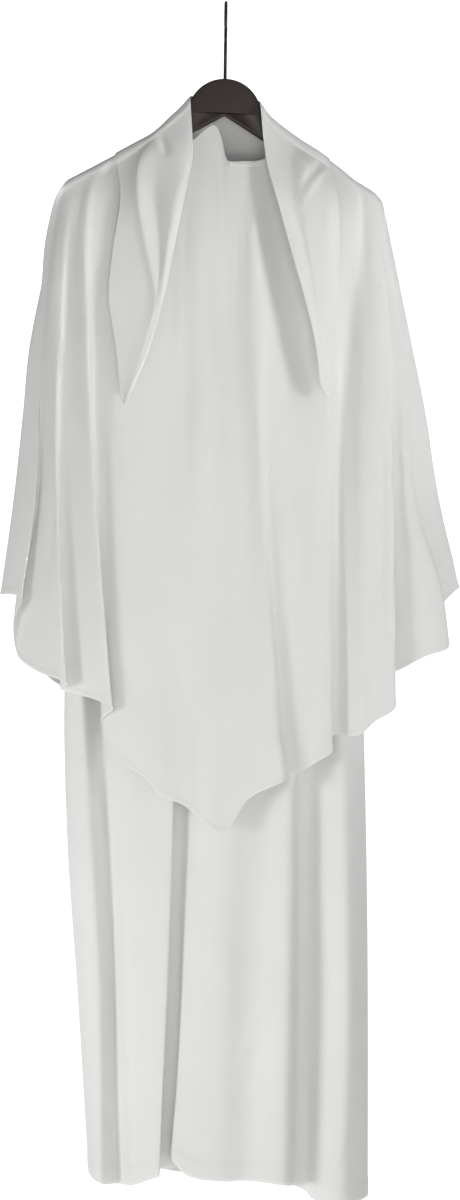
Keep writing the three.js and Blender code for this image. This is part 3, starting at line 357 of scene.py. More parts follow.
# Creases pressed into the hanging cloth, as soft troughs (-) and ridges (+): from (x, z) to (x, z),
# width and depth. Each fades out at both ends.
CAPE_FRONT_CREASES = [
    # x0, z0, x1, z1, width, depth
    (40, -502, 48, -660, 5, 1.6),
    (48, -660, 64, -918, 6, 1.4),
    (-56, -560, -66, -900, 24, 2.2),
    (-20, -520, -12, -860, 16, -2.0),
    (-28, -1070, -16, -1036, 5, 1.2),
    (-164, -234, -148, -208, 5, -2.2),
    (-152, -205, -128, -212, 5, 1.6),
    (66, -960, 78, -1024, 7, 3.0),
    (-150, -850, -92, -935, 20, -2.4),
    (223, -568, 256, -680, 6, 1.8),
    (224, -780, 243, -834, 5, 1.6),
    (206, -560, 203, -905, 5, -1.5),
    (150, -420, 140, -700, 14, -1.5),
    (120, -600, 128, -940, 16, 1.6),
    (90, -620, 98, -900, 14, -1.5),
    (-222, -640, -238, -790, 6, -2.0),
    (-100, -620, -112, -860, 16, -1.4),
    (-40, -250, -52, -480, 20, 1.2),
    (10, -260, 14, -520, 18, -1.2),
]
CAPE_BACK_CREASES = [
    (-40, -260, -52, -620, 20, 1.6),
    (60, -300, 66, -760, 22, -1.8),
    (-120, -420, -132, -860, 16, 1.6),
    (150, -380, 168, -820, 16, -1.6),
    (20, -600, 16, -930, 18, 1.4),
]
DRESS_FRONT_CREASES = [
    (-144, -960, -160, -1260, 10, 1.6),
    (-146, -1290, -142, -1550, 7, 2.2),
    (-96, -1010, -106, -1420, 26, 1.6),
    (68, -1258, 15, -1396, 8, 2.2),
    (158, -1474, 128, -1568, 6, 3.6),
    (126, -1110, 130, -1290, 14, 1.2),
    (-10, -1020, -14, -1430, 22, 1.6),
    (30, -1080, 24, -1500, 18, -1.4),
    (150, -1020, 158, -1400, 16, 1.4),
    (-190, -1080, -178, -1400, 8, 1.4),
]
DRESS_BACK_CREASES = [
    (-60, -700, -48, -1500, 20, 1.8),
    (70, -760, 92, -1480, 18, -1.8),
    (-150, -900, -138, -1500, 14, 1.8),
    (20, -900, 26, -1520, 16, 1.5),
    (140, -980, 150, -1540, 14, -1.6),
]
HOOD_LEFT_CREASES = [
    (-88, -172, -77, -206, 6, -2.6),
    (-70, -176, -62, -214, 12, 1.2),
]
HOOD_RIGHT_CREASES = [
    (128, -206, 96, -250, 5, -1.8),
    (130, -218, 98, -270, 5, 1.8),
    (96, -270, 78, -296, 6, 1.2),
    (131, -210, 133, -320, 6, 1.2),
]
HOOD_BACK_CREASES = [
    (-60, -200, -96, -350, 12, 2.0),
    (30, -210, 66, -360, 12, 2.0),
    (-10, -240, 0, -390, 14, -1.8),
]

# The panels. `side_seams` is true where both ends of the rows are sewn to the other panel, `across`
# is the widest step across a row, `rows` counts the rows below the shoulder, `turned` is the depth
# of the turned hem, and `uneven` says how strong the small unevenness is.
PANELS = {
    "cape_front": dict(
        folds=CAPE_FRONT, levels=CAPE_LEVELS, side=FRONT, layer="cape", creases=CAPE_FRONT_CREASES,
        side_seams=True, across=4.6, rows=132, turned=7, uneven=1.0, seed=3,
    ),
    "cape_back": dict(
        folds=CAPE_BACK, levels=CAPE_LEVELS, side=BACK, layer="cape", creases=CAPE_BACK_CREASES,
        side_seams=True, across=4.6, rows=120, turned=7, uneven=1.2, seed=4,
    ),
    "dress_front": dict(
        folds=DRESS_FRONT, levels=DRESS_LEVELS, side=FRONT, layer="dress",
        creases=DRESS_FRONT_CREASES, side_seams=True, across=4.2, rows=200, turned=24, uneven=1.0,
        seed=5,
    ),
    "dress_back": dict(
        folds=DRESS_BACK, levels=DRESS_LEVELS, side=BACK, layer="dress", creases=DRESS_BACK_CREASES,
        side_seams=True, across=4.4, rows=150, turned=24, uneven=1.2, seed=6,
    ),
    "hood_left": dict(
        folds=HOOD_LEFT, levels=HOOD_LEVELS, side=FRONT, layer="hood", creases=HOOD_LEFT_CREASES,
        side_seams=False, across=1.8, rows=130, turned=5, uneven=0.6, seed=7,
    ),
    "hood_right": dict(
        folds=HOOD_RIGHT, levels=HOOD_LEVELS, side=FRONT, layer="hood", creases=HOOD_RIGHT_CREASES,
        side_seams=False, across=1.8, rows=130, turned=5, uneven=0.6, seed=8,
    ),
    "hood_back": dict(
        folds=HOOD_BACK, levels=HOOD_BACK_LEVELS, side=BACK, layer="hood", creases=HOOD_BACK_CREASES,
        side_seams=False, across=2.6, rows=80, turned=5, uneven=0.8, seed=9,
    ),
}


def arm_top(out):
    """Height of an arm's top edge at a distance from the hanger's middle, before the tip."""
    t = np.clip((out - ARM_FROM) / (ARM_REACH - ARM_FROM), 0, 1)
    return ARM_TOP_Z - ARM_SLOPE * out - ARM_SAG * np.sin(np.pi * t)


def arm_height(out):
    """Height of the wood of an arm, upright."""
    t = np.clip((out - ARM_FROM) / (ARM_REACH - ARM_FROM), 0, 1)
    return (ARM_TOP_Z - NOTCH_Z) * (1 - t) + ARM_END_HEIGHT * t


def ridge_height(x):
    """Height of the hanger's top edge at a place across the hanging set."""
    z = -200.0
    for _ in range(3):
        out = (x - WOOD_X) * math.cos(WOOD_TIP) - (z - NOTCH_Z) * math.sin(WOOD_TIP)
        past = max(0.0, abs(out) - DROOP_FROM)
        rise = arm_top(abs(out)) - DROOP * past * past - NOTCH_Z
        z = NOTCH_Z - out * math.sin(WOOD_TIP) + rise * math.cos(WOOD_TIP)
    return float(z)


def along(levels, values, z):
    """A smooth line through values given at falling heights, straight past the last."""
    levels, values = np.array(levels, float), np.array(values, float)
    rise = np.diff(values) / np.diff(levels)
    slopes = np.concatenate([rise[:1], (rise[:-1] + rise[1:]) / 2, rise[-1:]])
    i = np.clip(np.searchsorted(-levels, -z, side="left") - 1, 0, len(levels) - 2)
    span = levels[i + 1] - levels[i]
    t = (z - levels[i]) / span
    inside = (
        (2 * t**3 - 3 * t**2 + 1) * values[i]
        + (t**3 - 2 * t**2 + t) * span * slopes[i]
        + (3 * t**2 - 2 * t**3) * values[i + 1]
        + (t**3 - t**2) * span * slopes[i + 1]
    )
    below = values[-1] + rise[-1] * (z - levels[-1])
    return np.where(z >= levels[0], values[0], np.where(z <= levels[-1], below, inside))


def row_drops(roll, length, turn, rows, turned):
    """How far each row lies below the top of the roll: close rows round the wood, even ones down
    the cloth, and close ones again through the turned hem."""
    first = roll * (1 - math.cos(turn))
    last = max(roll, first + roll / 2)
    roll_rows, hem_rows = 12, 10
    hem_depth = min(1.5 * turned, 0.3 * (length - last))
    round_wood = first + (last - first) * (1 - np.cos(np.pi / 2 * np.linspace(0, 1, roll_rows + 1)))
    down = np.linspace(last, length - hem_depth, rows + 1)[1:]
    hem = np.linspace(length - hem_depth, length, hem_rows + 1)[1:]
    return np.concatenate([round_wood, down, hem])


def fold_line(line, panel):
    """The points of one fold line."""
    lift, roll = LAYERS[panel["layer"]]
    levels = panel["levels"]
    start, turn = line["start"], math.radians(line["turn"])
    top = start[0] if start else ridge_height(line["top"]) + lift
    rolls = not start or start[1] == 0
    side_seam = 0 in line["y"]
    start_depth = roll if rolls else start[1]
    kept = [i for i, level in enumerate(levels) if level < top - 2 * roll]
    ends = [levels[i] for i in kept]
    xs = [line["top"]] + [line["x"][i] for i in kept]
    depths = [0 if side_seam and line["y"][0] == 0 else start_depth] + [line["y"][i] for i in kept]
    drops = row_drops(roll, top - line["hem"], turn, panel["rows"], panel["turned"])
    t = np.minimum(1, drops / roll)
    round_wood = np.sqrt(t * (2 - t)) if rolls else 1.0
    z = top - drops
    depth = along([top - (roll if rolls else 0)] + ends, depths, z) * round_wood
    x = along([top] + ends, xs, z)
    return np.stack([x, panel["side"] * np.maximum(depth, SEAM_HALF), z], axis=1)


def between(p0, p1, p2, p3, steps):
    """Points of a smooth curve from p1 to p2, for every row at once."""
    def gap(a, b):
        return np.maximum(((a - b) ** 2).sum(axis=1, keepdims=True) ** 0.25, 1e-4)

    d0, d1, d2 = gap(p0, p1), gap(p1, p2), gap(p2, p3)
    leave = ((p1 - p0) / d0 - (p2 - p0) / (d0 + d1) + (p2 - p1) / d1) * d1
    arrive = ((p2 - p1) / d1 - (p3 - p1) / (d1 + d2) + (p3 - p2) / d2) * d1
    points = []
    for t in np.arange(steps) / steps:
        points.append(
            p1 + leave * t + (-3 * p1 + 3 * p2 - 2 * leave - arrive) * t**2
            + (2 * p1 - 2 * p2 + leave + arrive) * t**3
        )
    return points


def panel_grid(panel):
    """The panel's middle surface: its fold lines, joined across each row by a smooth curve."""
    lines = [fold_line(line, panel) for line in panel["folds"]]

    def beyond(end, inner):
        if not panel["side_seams"]:
            return 2 * end - inner
        return np.stack([inner[:, 0], 2 * end[:, 1] - inner[:, 1], inner[:, 2]], axis=1)

    padded = [beyond(lines[0], lines[1]), *lines, beyond(lines[-1], lines[-2])]
    columns = []
    for i in range(1, len(padded) - 2):
        widest = np.linalg.norm(padded[i + 1] - padded[i], axis=1).max()
        steps = max(5, math.ceil(widest / panel["across"]))
        columns += between(*padded[i - 1 : i + 3], steps)
    columns.append(lines[-1])
    grid = np.stack(columns, axis=1)
    side = panel["side"]
    grid[..., 1] = side * np.maximum(side * grid[..., 1], SEAM_HALF)
    return grid


def facing(grid, side):
    """Unit normals of a grid, pointing out of the figure."""
    normal = np.cross(np.gradient(grid, axis=0), np.gradient(grid, axis=1)) * -side
    return normal / np.maximum(np.linalg.norm(normal, axis=2, keepdims=True), 1e-9)


def arc_lengths(grid):
    """Mean distance of each column from the first, and of each row from the top."""
    across = np.linalg.norm(np.diff(grid, axis=1), axis=2).mean(axis=0)
    down = np.linalg.norm(np.diff(grid, axis=0), axis=2).mean(axis=1)
    return np.concatenate([[0], np.cumsum(across)]), np.concatenate([[0], np.cumsum(down)])


def waves(across, down, cell, seed):
    """Smooth uneven heights between -1 and 1, on cells of (across, down) millimetres."""
    rng = np.random.default_rng(seed)
    u, v = across / cell[0], down / cell[1]
    heights = rng.uniform(-1, 1, (int(v.max()) + 3, int(u.max()) + 3))

    def eased(w):
        i = w.astype(int)
        t = w - i
        return i, t * t * t * (t * (6 * t - 15) + 10)

    (i, s), (j, t) = eased(v), eased(u)
    rows = heights[i] * (1 - s)[:, None] + heights[i + 1] * s[:, None]
    return rows[:, j] * (1 - t) + rows[:, j + 1] * t


def fade(value, none, full):
    """0 at one value and 1 at another, with a soft change between them."""
    t = np.clip((value - none) / (full - none), 0, 1)
    return t * t * (3 - 2 * t)


def pressed(grid, panel):
    """The grid with its creases and its unevenness, which fade out on the shoulders and seams."""
    side = panel["side"]
    normal = facing(grid, side)
    across, down = arc_lengths(grid)
    height = np.zeros(grid.shape[:2])
    for cell, depth, seed in UNEVEN:
        height += depth * waves(across, down, cell, panel["seed"] + seed)
    height *= panel["uneven"] * fade(down, 20, 120)[:, None]
    outward = fade(side * normal[..., 1], 0.05, 0.5)
    for x0, z0, x1, z1, width, depth in panel["creases"]:
        run = np.array([x1 - x0, z1 - z0], float)
        length = np.linalg.norm(run)
        run /= length
        dx, dz = grid[..., 0] - x0, grid[..., 2] - z0
        t = (dx * run[0] + dz * run[1]) / length
        off = dx * run[1] - dz * run[0]
        ends = fade(t, -0.05, 0.3) * fade(t, 1.05, 0.7)
        height += depth * ends * np.exp(-((off / width) ** 2)) * outward
    if panel["side_seams"]:
        height *= fade(np.minimum(across, across[-1] - across), 0, 12)[None, :]
    pushed = grid + normal * height[..., None]
    pushed[..., 1] = side * np.maximum(side * pushed[..., 1], SEAM_HALF)
    return pushed


def length_to_hem(grid):
    """Length of cloth left below each point of a grid."""
    left = np.linalg.norm(np.diff(grid, axis=0), axis=2)[::-1].cumsum(axis=0)[::-1]
    return np.vstack([left, np.zeros((1, grid.shape[1]))])


def cloth_thickness(grid, panel):
    """Half thickness at each point: more in the turned hem, with a dip along its stitching."""
    left, turned = length_to_hem(grid), panel["turned"]
    folded = fade(left, turned + STITCH_INSET, turned - 0.5)
    stitched = np.exp(-(((left - turned + STITCH_INSET) / 1.2) ** 2))
    rounded = 1 - 0.5 * fade(left, 1.0, 0.0)
    return (CREPE_HALF + (HEM_HALF - CREPE_HALF) * folded - STITCH_DIP * stitched) * rounded


def shell(name, grid, half, side, material):
    """A closed thin sheet round a grid of points, with a UV map in metres of cloth."""
    normal = facing(grid, side)
    rows, columns = grid.shape[:2]
    outer, inner = grid + normal * half[..., None], grid - normal * half[..., None]
    points = np.concatenate([outer.reshape(-1, 3), inner.reshape(-1, 3)]) * MM
    front = np.arange(rows * columns).reshape(rows, columns)
    back = front + rows * columns

    def quads(a, b, c, d):
        return np.stack([a.ravel(), b.ravel(), c.ravel(), d.ravel()], axis=1)

    faces = [
        quads(front[:-1, :-1], front[1:, :-1], front[1:, 1:], front[:-1, 1:]),
        quads(back[:-1, :-1], back[:-1, 1:], back[1:, 1:], back[1:, :-1]),
        quads(front[0, :-1], front[0, 1:], back[0, 1:], back[0, :-1]),
        quads(front[-1, 1:], front[-1, :-1], back[-1, :-1], back[-1, 1:]),
        quads(front[1:, 0], front[:-1, 0], back[:-1, 0], back[1:, 0]),
        quads(front[:-1, -1], front[1:, -1], back[1:, -1], back[:-1, -1]),
    ]
    faces = np.concatenate(faces)
    if side == BACK:
        faces = faces[:, ::-1]
    across, down = arc_lengths(grid)
    place = np.stack(np.meshgrid(across, -down), axis=2).reshape(-1, 2) * MM
    return new_piece(name, points, faces, material, np.concatenate([place, place]))


def new_piece(name, points, faces, material, places=None):
    """A smooth mesh from points in metres and faces that point outwards."""
    mesh = bpy.data.meshes.new(name)
    mesh.from_pydata(points.tolist(), [], [list(face) for face in faces])
    mesh.polygons.foreach_set("use_smooth", np.ones(len(mesh.polygons), bool))
    if places is not None:
        corners = np.empty(len(mesh.loops), int)
        mesh.loops.foreach_get("vertex_index", corners)
        mesh.uv_layers.new(name="cloth").data.foreach_set("uv", places[corners].ravel())
    mesh.materials.append(material)
    mesh.update()
    piece = bpy.data.objects.new(name, mesh)
    bpy.context.scene.collection.objects.link(piece)
    return piece


class Socket:
    """A shader socket that takes part in Python expressions. Each operator adds its node."""

    def __init__(self, tree, socket):
        self.tree, self.socket = tree, socket

    def _maths(self, operation, first, second):
        return make(self.tree, "ShaderNodeMath", {"operation": operation}, {0: first, 1: second})

    def __add__(self, other):
        return self._maths("ADD", self, other)

    def __mul__(self, other):
        return self._maths("MULTIPLY", self, other)

    __radd__, __rmul__ = __add__, __mul__


def make(tree, kind, settings=None, inputs=None, output=0):
    """Adds a node, with its settings first and then the values or links of its sockets."""
    node = tree.nodes.new(kind)
    for name, value in (settings or {}).items():
        setattr(node, name, value)
    for key, value in (inputs or {}).items():
        if isinstance(value, Socket):
            tree.links.new(value.socket, node.inputs[key])
        else:
            node.inputs[key].default_value = value
    return Socket(tree, node.outputs[output])


def finish_material(name, constants, links, bump):
    """A material whose base is one Principled shader, with a bump made from a height socket."""
    material = bpy.data.materials.new(name)
    material.use_nodes = True
    tree = material.node_tree
    shader = next(n for n in tree.nodes if n.type == "BSDF_PRINCIPLED")
    for key, value in constants.items():
        shader.inputs[key].default_value = value
    for key, build in links.items():
        tree.links.new(build(tree).socket, shader.inputs[key])
    height, strength, distance = bump
    bumped = make(
        tree, "ShaderNodeBump", {}, {"Strength": strength, "Distance": distance, "Height": height(tree)}
    )
    tree.links.new(bumped.socket, shader.inputs["Normal"])
    return material


def noise(tree, place, scale, detail=2.0):
    """Soft noise between 0 and 1 at a place, finer with a larger scale."""
    return make(
        tree, "ShaderNodeTexNoise", {"noise_dimensions": "3D"},
        {"Vector": place, "Scale": scale, "Detail": detail, "Roughness": 0.55},
    )


def mixed(tree, factor, first, second):
    """A colour between two, by a factor."""
    return make(
        tree, "ShaderNodeMix", {"data_type": "RGBA"}, {"Factor": factor, 6: first, 7: second}, output=2
    )


def crepe_material():
    """Matt off-white crepe: a pebbly, slightly uneven twisted weave that follows the cloth."""
    def cloth(tree):
        return make(tree, "ShaderNodeUVMap", {"uv_map": "cloth"})

    def stretched(tree, scale):
        return make(tree, "ShaderNodeMapping", {}, {"Vector": cloth(tree), "Scale": scale})

    def colour(tree):
        cloudy = noise(tree, cloth(tree), 14.0, 3.0)
        return mixed(tree, cloudy, (0.779, 0.779, 0.762, 1), (0.819, 0.816, 0.799, 1))

    def rough(tree):
        return 0.78 + 0.14 * noise(tree, cloth(tree), 60.0)

    def height(tree):
        pebbles = noise(tree, stretched(tree, (1.0, 0.6, 1.0)), 1500.0, 2.0)
        slubs = noise(tree, stretched(tree, (1.0, 0.05, 1.0)), 520.0, 1.0)
        return 0.7 * pebbles + 0.3 * slubs

    return finish_material(
        "off_white_crepe",
        {"Sheen Weight": 0.12, "Sheen Roughness": 0.5, "Specular IOR Level": 0.25},
        {"Base Color": colour, "Roughness": rough},
        (height, 0.22, 0.0004),
    )


def thread_material():
    """The sewing thread, a shade whiter than the cloth."""
    return finish_material(
        "white_thread",
        {"Specular IOR Level": 0.3, "Base Color": (0.82, 0.825, 0.815, 1), "Roughness": 0.7},
        {},
        (lambda tree: noise(tree, make(tree, "ShaderNodeTexCoord", {}, {}, output=3), 2600.0), 0.3, 0.0002),
    )


def dark_wood_material():
    """Near black stained wood under satin lacquer, its grain along the arms."""
    def grain(tree):
        here = make(tree, "ShaderNodeTexCoord", {}, {}, output=3)
        drawn = make(tree, "ShaderNodeMapping", {}, {"Vector": here, "Scale": (0.12, 1.0, 1.0)})
        return noise(tree, drawn, 320.0, 4.0)

    return finish_material(
        "stained_wood",
        {"Coat Weight": 0.25, "Coat Roughness": 0.3, "Specular IOR Level": 0.4},
        {
            "Base Color": lambda tree: mixed(
                tree, grain(tree), (0.018, 0.010, 0.010, 1), (0.050, 0.030, 0.028, 1)
            ),
            "Roughness": lambda tree: 0.40 + 0.2 * grain(tree),
        },
        (grain, 0.15, 0.0004),
    )


def black_wire_material():
    """Satin black lacquer on the hook's wire."""
    return finish_material(
        "black_lacquered_wire",
        {"Base Color": (0.012, 0.010, 0.012, 1), "Roughness": 0.38, "Coat Weight": 0.2},
        {},
        (lambda tree: noise(tree, make(tree, "ShaderNodeTexCoord", {}, {}, output=3), 900.0), 0.08, 0.0002),
    )


def tipped(points, angle, centre=(0, 0)):
    """Points turned in the plane of the hanger, then moved from the origin to a centre (x, z)."""
    x, y, z = points[..., 0], points[..., 1], points[..., 2]
    c, s = math.cos(angle), math.sin(angle)
    return np.stack([centre[0] + c * x + s * z, y, centre[1] - s * x + c * z], axis=-1)


def wood_outline():
    """Half the wood's outline from the top of its dome to its notch, in its own plane."""
    fall = math.atan(ARM_SLOPE)
    end_radius = ARM_END_HEIGHT * math.cos(fall) / 2
    end_out = ARM_REACH - end_radius
    end = np.array([end_out, arm_top(end_out) - NOTCH_Z - ARM_END_HEIGHT / 2])
    turns = np.linspace(0, DOME_SWEEP, 40)
    dome = DOME_RADIUS * np.stack([np.sin(turns), np.cos(turns)], axis=1)
    foot = np.array([[DOME_FOOT[0], arm_top(DOME_FOOT[0]) - NOTCH_Z + DOME_FOOT[1]]])
    outs = np.linspace(ARM_FROM, end_out, 41)[:-1]
    arm = np.stack([outs, arm_top(outs) - NOTCH_Z], axis=1)
    turns = math.pi / 2 - fall - np.linspace(0, math.pi, 28)
    tip = end + end_radius * np.stack([np.cos(turns), np.sin(turns)], axis=1)
    outs = outs[:0:-1]
    under = np.stack([outs, arm_top(outs) - NOTCH_Z - arm_height(outs)], axis=1)
    return np.concatenate([dome, foot, arm, tip, under])


def wooden_hanger(material):
    """The flat wooden hanger with rounded long edges."""
    half = wood_outline()
    outline = np.concatenate([half, [[0, 0]], (half * [-1, 1])[:0:-1]])
    ahead, behind = np.roll(outline, -1, axis=0), np.roll(outline, 1, axis=0)
    along_edge = ahead - behind
    inward = np.stack([along_edge[:, 1], -along_edge[:, 0]], axis=1)
    inward /= np.linalg.norm(inward, axis=1, keepdims=True)
    turns = np.linspace(0, math.pi / 2, 9)
    profile = [(WOOD_ROUND * (1 - math.cos(t)), WOOD_CORE / 2 + WOOD_EDGE * math.sin(t)) for t in turns]
    rings = [(inset, -depth) for inset, depth in profile[::-1]] + profile
    points = []
    for inset, depth in rings:
        flat = outline + inward * inset
        points.append(np.stack([flat[:, 0], np.full(len(flat), depth), flat[:, 1]], axis=1))
    count = len(outline)
    ring = np.arange(len(rings) * count).reshape(len(rings), count)
    after = np.roll(ring, -1, axis=1)
    sides = np.stack([ring[:-1], ring[1:], after[1:], after[:-1]], axis=-1).reshape(-1, 4).tolist()
    cap = np.array(tessellate_polygon([[Vector((x, z, 0)) for x, z in outline]]))
    faces = sides + ring[0][cap].tolist() + ring[-1][cap].tolist()
    placed = tipped(np.concatenate(points), WOOD_TIP, (WOOD_X, NOTCH_Z))
    piece = new_piece("wooden_hanger", placed * MM, faces, material)
    return face_outwards(piece)


def face_outwards(piece):
    """Turns every face of a closed piece outwards."""
    made = bmesh.new()
    made.from_mesh(piece.data)
    bmesh.ops.recalc_face_normals(made, faces=made.faces)
    made.to_mesh(piece.data)
    made.free()
    return piece


def tube(name, path, radius, material, around=20):
    """A round wire along a path, with rounded ends."""
    path = np.array(path, float)
    tangent = np.gradient(path, axis=0)
    tangent /= np.linalg.norm(tangent, axis=1, keepdims=True)
    across = np.array([1.0, 0, 0])
    turns = np.linspace(0, 2 * math.pi, around, endpoint=False)
    rings = []
    cap = np.linspace(0, math.pi / 2, 6)[:-1]
    stations = [(path[0], tangent[0], -math.cos(t), math.sin(t)) for t in cap[1:]]
    stations += [(p, t, 0.0, 1.0) for p, t in zip(path, tangent)]
    stations += [(path[-1], tangent[-1], math.cos(t), math.sin(t)) for t in cap[:0:-1]]
    for centre, way, ahead, size in stations:
        out = np.cross(way, across)
        ring = np.outer(np.cos(turns), across) + np.outer(np.sin(turns), out)
        rings.append(centre + way * radius * ahead + ring * radius * size)
    count = len(rings)
    ring = np.arange(count * around).reshape(count, around)
    after = np.roll(ring, -1, axis=1)
    faces = np.stack([ring[:-1], after[:-1], after[1:], ring[1:]], axis=-1).reshape(-1, 4).tolist()
    faces += [ring[0].tolist(), ring[-1].tolist()[::-1]]
    placed = tipped(np.concatenate(rings), WIRE_LEAN)
    return face_outwards(new_piece(name, placed * MM, faces, material))


def wire_hook(material):
    """The hook, edge on to the viewer: a round bend open at the front, and a straight shank."""
    centre = WIRE_RADIUS - HOOK_BEND
    turns = np.linspace(-HOOK_SWEEP, HOOK_SWEEP, 60)
    bend = np.stack(
        [0 * turns, HOOK_BEND * np.sin(turns), centre + HOOK_BEND * np.cos(turns)], axis=1
    )
    foot = NOTCH_Z + DOME_RADIUS - SHANK_SINK
    points = [bend[-2], bend[-1], *[np.array([0, y, z]) for y, z in HOOK_NECK]]
    points += [np.array([0, 0, SHANK_Z]), np.array([0, 0, foot])]
    beyond = points[-1] * 2 - points[-2]
    neck = []
    for p0, p1, p2, p3 in zip(points, points[1:], points[2:], [*points[3:], beyond]):
        neck += [q[0] for q in between(p0[None], p1[None], p2[None], p3[None], 8)]
    return tube("wire_hook", [*bend[:-1], *neck, points[-1]], WIRE_RADIUS, material)


def neck_binding(cape, material):
    """The narrow turned strip along the cape's front neckline."""
    names = [line["at"] for line in CAPE_FRONT]
    top = cape[0]
    x_first = CAPE_FRONT[names.index("front point")]["top"]
    x_last = CAPE_FRONT[names.index("neck corner right")]["top"]
    columns = [c for c in range(cape.shape[1]) if x_first <= top[c, 0] <= x_last]
    rows = np.linspace(0, BINDING_WIDTH, 12)
    strip = np.zeros((len(rows), len(columns), 3))
    for k, c in enumerate(columns):
        line = cape[:, c]
        drop = line[0, 2] - line[:, 2]
        for axis in range(3):
            strip[:, k, axis] = np.interp(rows, drop, line[:, axis])
    normal = facing(strip, FRONT)
    crown = np.sin(np.pi * np.linspace(0.08, 0.92, len(rows)))
    lifted = strip + normal * (0.75 + 0.35 * crown)[:, None, None]
    half = np.full(lifted.shape[:2], 0.35)
    return shell("neckline_binding", lifted, half, FRONT, material)


def stitch_tree(thread):
    """A row of stitches along a line of points that hold which way the cloth faces."""
    tree = bpy.data.node_groups.new("stitches_along_a_line", "GeometryNodeTree")
    face = tree.interface
    face.new_socket("Line", in_out="INPUT", socket_type="NodeSocketGeometry")
    pitch = face.new_socket("Pitch", in_out="INPUT", socket_type="NodeSocketFloat")
    length = face.new_socket("Stitch length", in_out="INPUT", socket_type="NodeSocketFloat")
    width = face.new_socket("Thread width", in_out="INPUT", socket_type="NodeSocketFloat")
    face.new_socket("Stitches", in_out="OUTPUT", socket_type="NodeSocketGeometry")
    given, result = tree.nodes.new("NodeGroupInput"), tree.nodes.new("NodeGroupOutput")

    def add(kind, settings=None, inputs=None):
        node = tree.nodes.new(kind)
        for name, value in (settings or {}).items():
            setattr(node, name, value)
        for key, value in (inputs or {}).items():
            if isinstance(value, bpy.types.NodeSocket):
                tree.links.new(value, node.inputs[key])
            else:
                node.inputs[key].default_value = value
        return node

    curve = add("GeometryNodeMeshToCurve", {}, {"Mesh": given.outputs["Line"]})
    spaced = add(
        "GeometryNodeResampleCurve", {"mode": "LENGTH"},
        {"Curve": curve.outputs[0], "Length": given.outputs["Pitch"]},
    )
    outward = add("GeometryNodeInputNamedAttribute", {"data_type": "FLOAT_VECTOR"}, {"Name": "outward"})
    tangent = add("GeometryNodeInputTangent")
    up = add("FunctionNodeAlignRotationToVector", {"axis": "Z"}, {"Vector": outward.outputs[0]})
    turned = add(
        "FunctionNodeAlignRotationToVector", {"axis": "X", "pivot_axis": "Z"},
        {"Rotation": up.outputs[0], "Vector": tangent.outputs[0]},
    )
    bead = add("GeometryNodeMeshUVSphere", {}, {"Segments": 6, "Rings": 4, "Radius": 0.5})
    long, wide = given.outputs["Stitch length"], given.outputs["Thread width"]
    size = add("ShaderNodeCombineXYZ", {}, {0: long, 1: wide, 2: wide})
    placed = add(
        "GeometryNodeInstanceOnPoints", {},
        {
            "Points": spaced.outputs[0], "Instance": bead.outputs[0],
            "Rotation": turned.outputs[0], "Scale": size.outputs[0],
        },
    )
    real = add("GeometryNodeRealizeInstances", {}, {0: placed.outputs[0]})
    coloured = add("GeometryNodeSetMaterial", {}, {"Geometry": real.outputs[0], "Material": thread})
    tree.links.new(coloured.outputs[0], result.inputs[0])
    return tree, pitch.identifier, length.identifier, width.identifier


def stitches(name, lines, tree, thread):
    """Stitches of thread along lines of (points, outward normals), in millimetres."""
    group, pitch, length, width = tree
    points, ways, edges = [], [], []
    for line, outward in lines:
        start = len(points)
        points += (line * MM).tolist()
        ways += outward.tolist()
        edges += [(i, i + 1) for i in range(start, len(points) - 1)]
    mesh = bpy.data.meshes.new(name + "_line")
    mesh.from_pydata(points, edges, [])
    mesh.attributes.new("outward", "FLOAT_VECTOR", "POINT").data.foreach_set(
        "vector", np.array(ways).ravel()
    )
    maker = bpy.data.objects.new(name + "_line", mesh)
    bpy.context.scene.collection.objects.link(maker)
    modifier = maker.modifiers.new("stitches", "NODES")
    modifier.node_group = group
    modifier[pitch], modifier[length], modifier[width] = (size * MM for size in STITCH)
    graph = bpy.context.evaluated_depsgraph_get()
    made = bpy.data.meshes.new_from_object(maker.evaluated_get(graph))
    made.name = name
    if not made.materials:
        made.materials.append(thread)
    maker.modifiers.remove(modifier)
    bpy.data.objects.remove(maker)
    made.polygons.foreach_set("use_smooth", np.ones(len(made.polygons), bool))
    piece = bpy.data.objects.new(name, made)
    bpy.context.scene.collection.objects.link(piece)
    return piece


def hem_line(grid, half, panel):
    """The line of stitching above a turned hem, on the outside of the cloth."""
    normal, left = facing(grid, panel["side"]), length_to_hem(grid)
    line, ways = [], []
    for c in range(1, grid.shape[1] - 1):
        r = np.interp(STITCH_INSET - panel["turned"], -left[:, c], np.arange(len(left)))
        i = min(int(r), len(left) - 2)
        t = r - i
        point = grid[i, c] * (1 - t) + grid[i + 1, c] * t
        way = normal[i, c] * (1 - t) + normal[i + 1, c] * t
        out = half[i, c] * (1 - t) + half[i + 1, c] * t
        line.append(point + way * (out + STITCH_LIFT))
        ways.append(way)
    return np.array(line), np.array(ways)


def paper_sheet(name, path, glow):
    """A wide sheet of pale paper under and behind the hanging set, along a path of (y, z)."""
    points = [(x, y, z) for x in (-PAPER_HALF_WIDTH, PAPER_HALF_WIDTH) for y, z in path]
    count = len(path)
    faces = [(i, count + i, count + i + 1, i + 1) for i in range(count - 1)]
    paper = bpy.data.materials.new(name)
    paper.use_nodes = True
    shader = next(node for node in paper.node_tree.nodes if node.type == "BSDF_PRINCIPLED")
    shader.inputs["Base Color"].default_value = (0.86, 0.86, 0.86, 1)
    shader.inputs["Roughness"].default_value = 0.95
    shader.inputs["Emission Color"].default_value = (1, 1, 1, 1)
    shader.inputs["Emission Strength"].default_value = glow
    return new_piece(name, np.array(points), faces, paper)


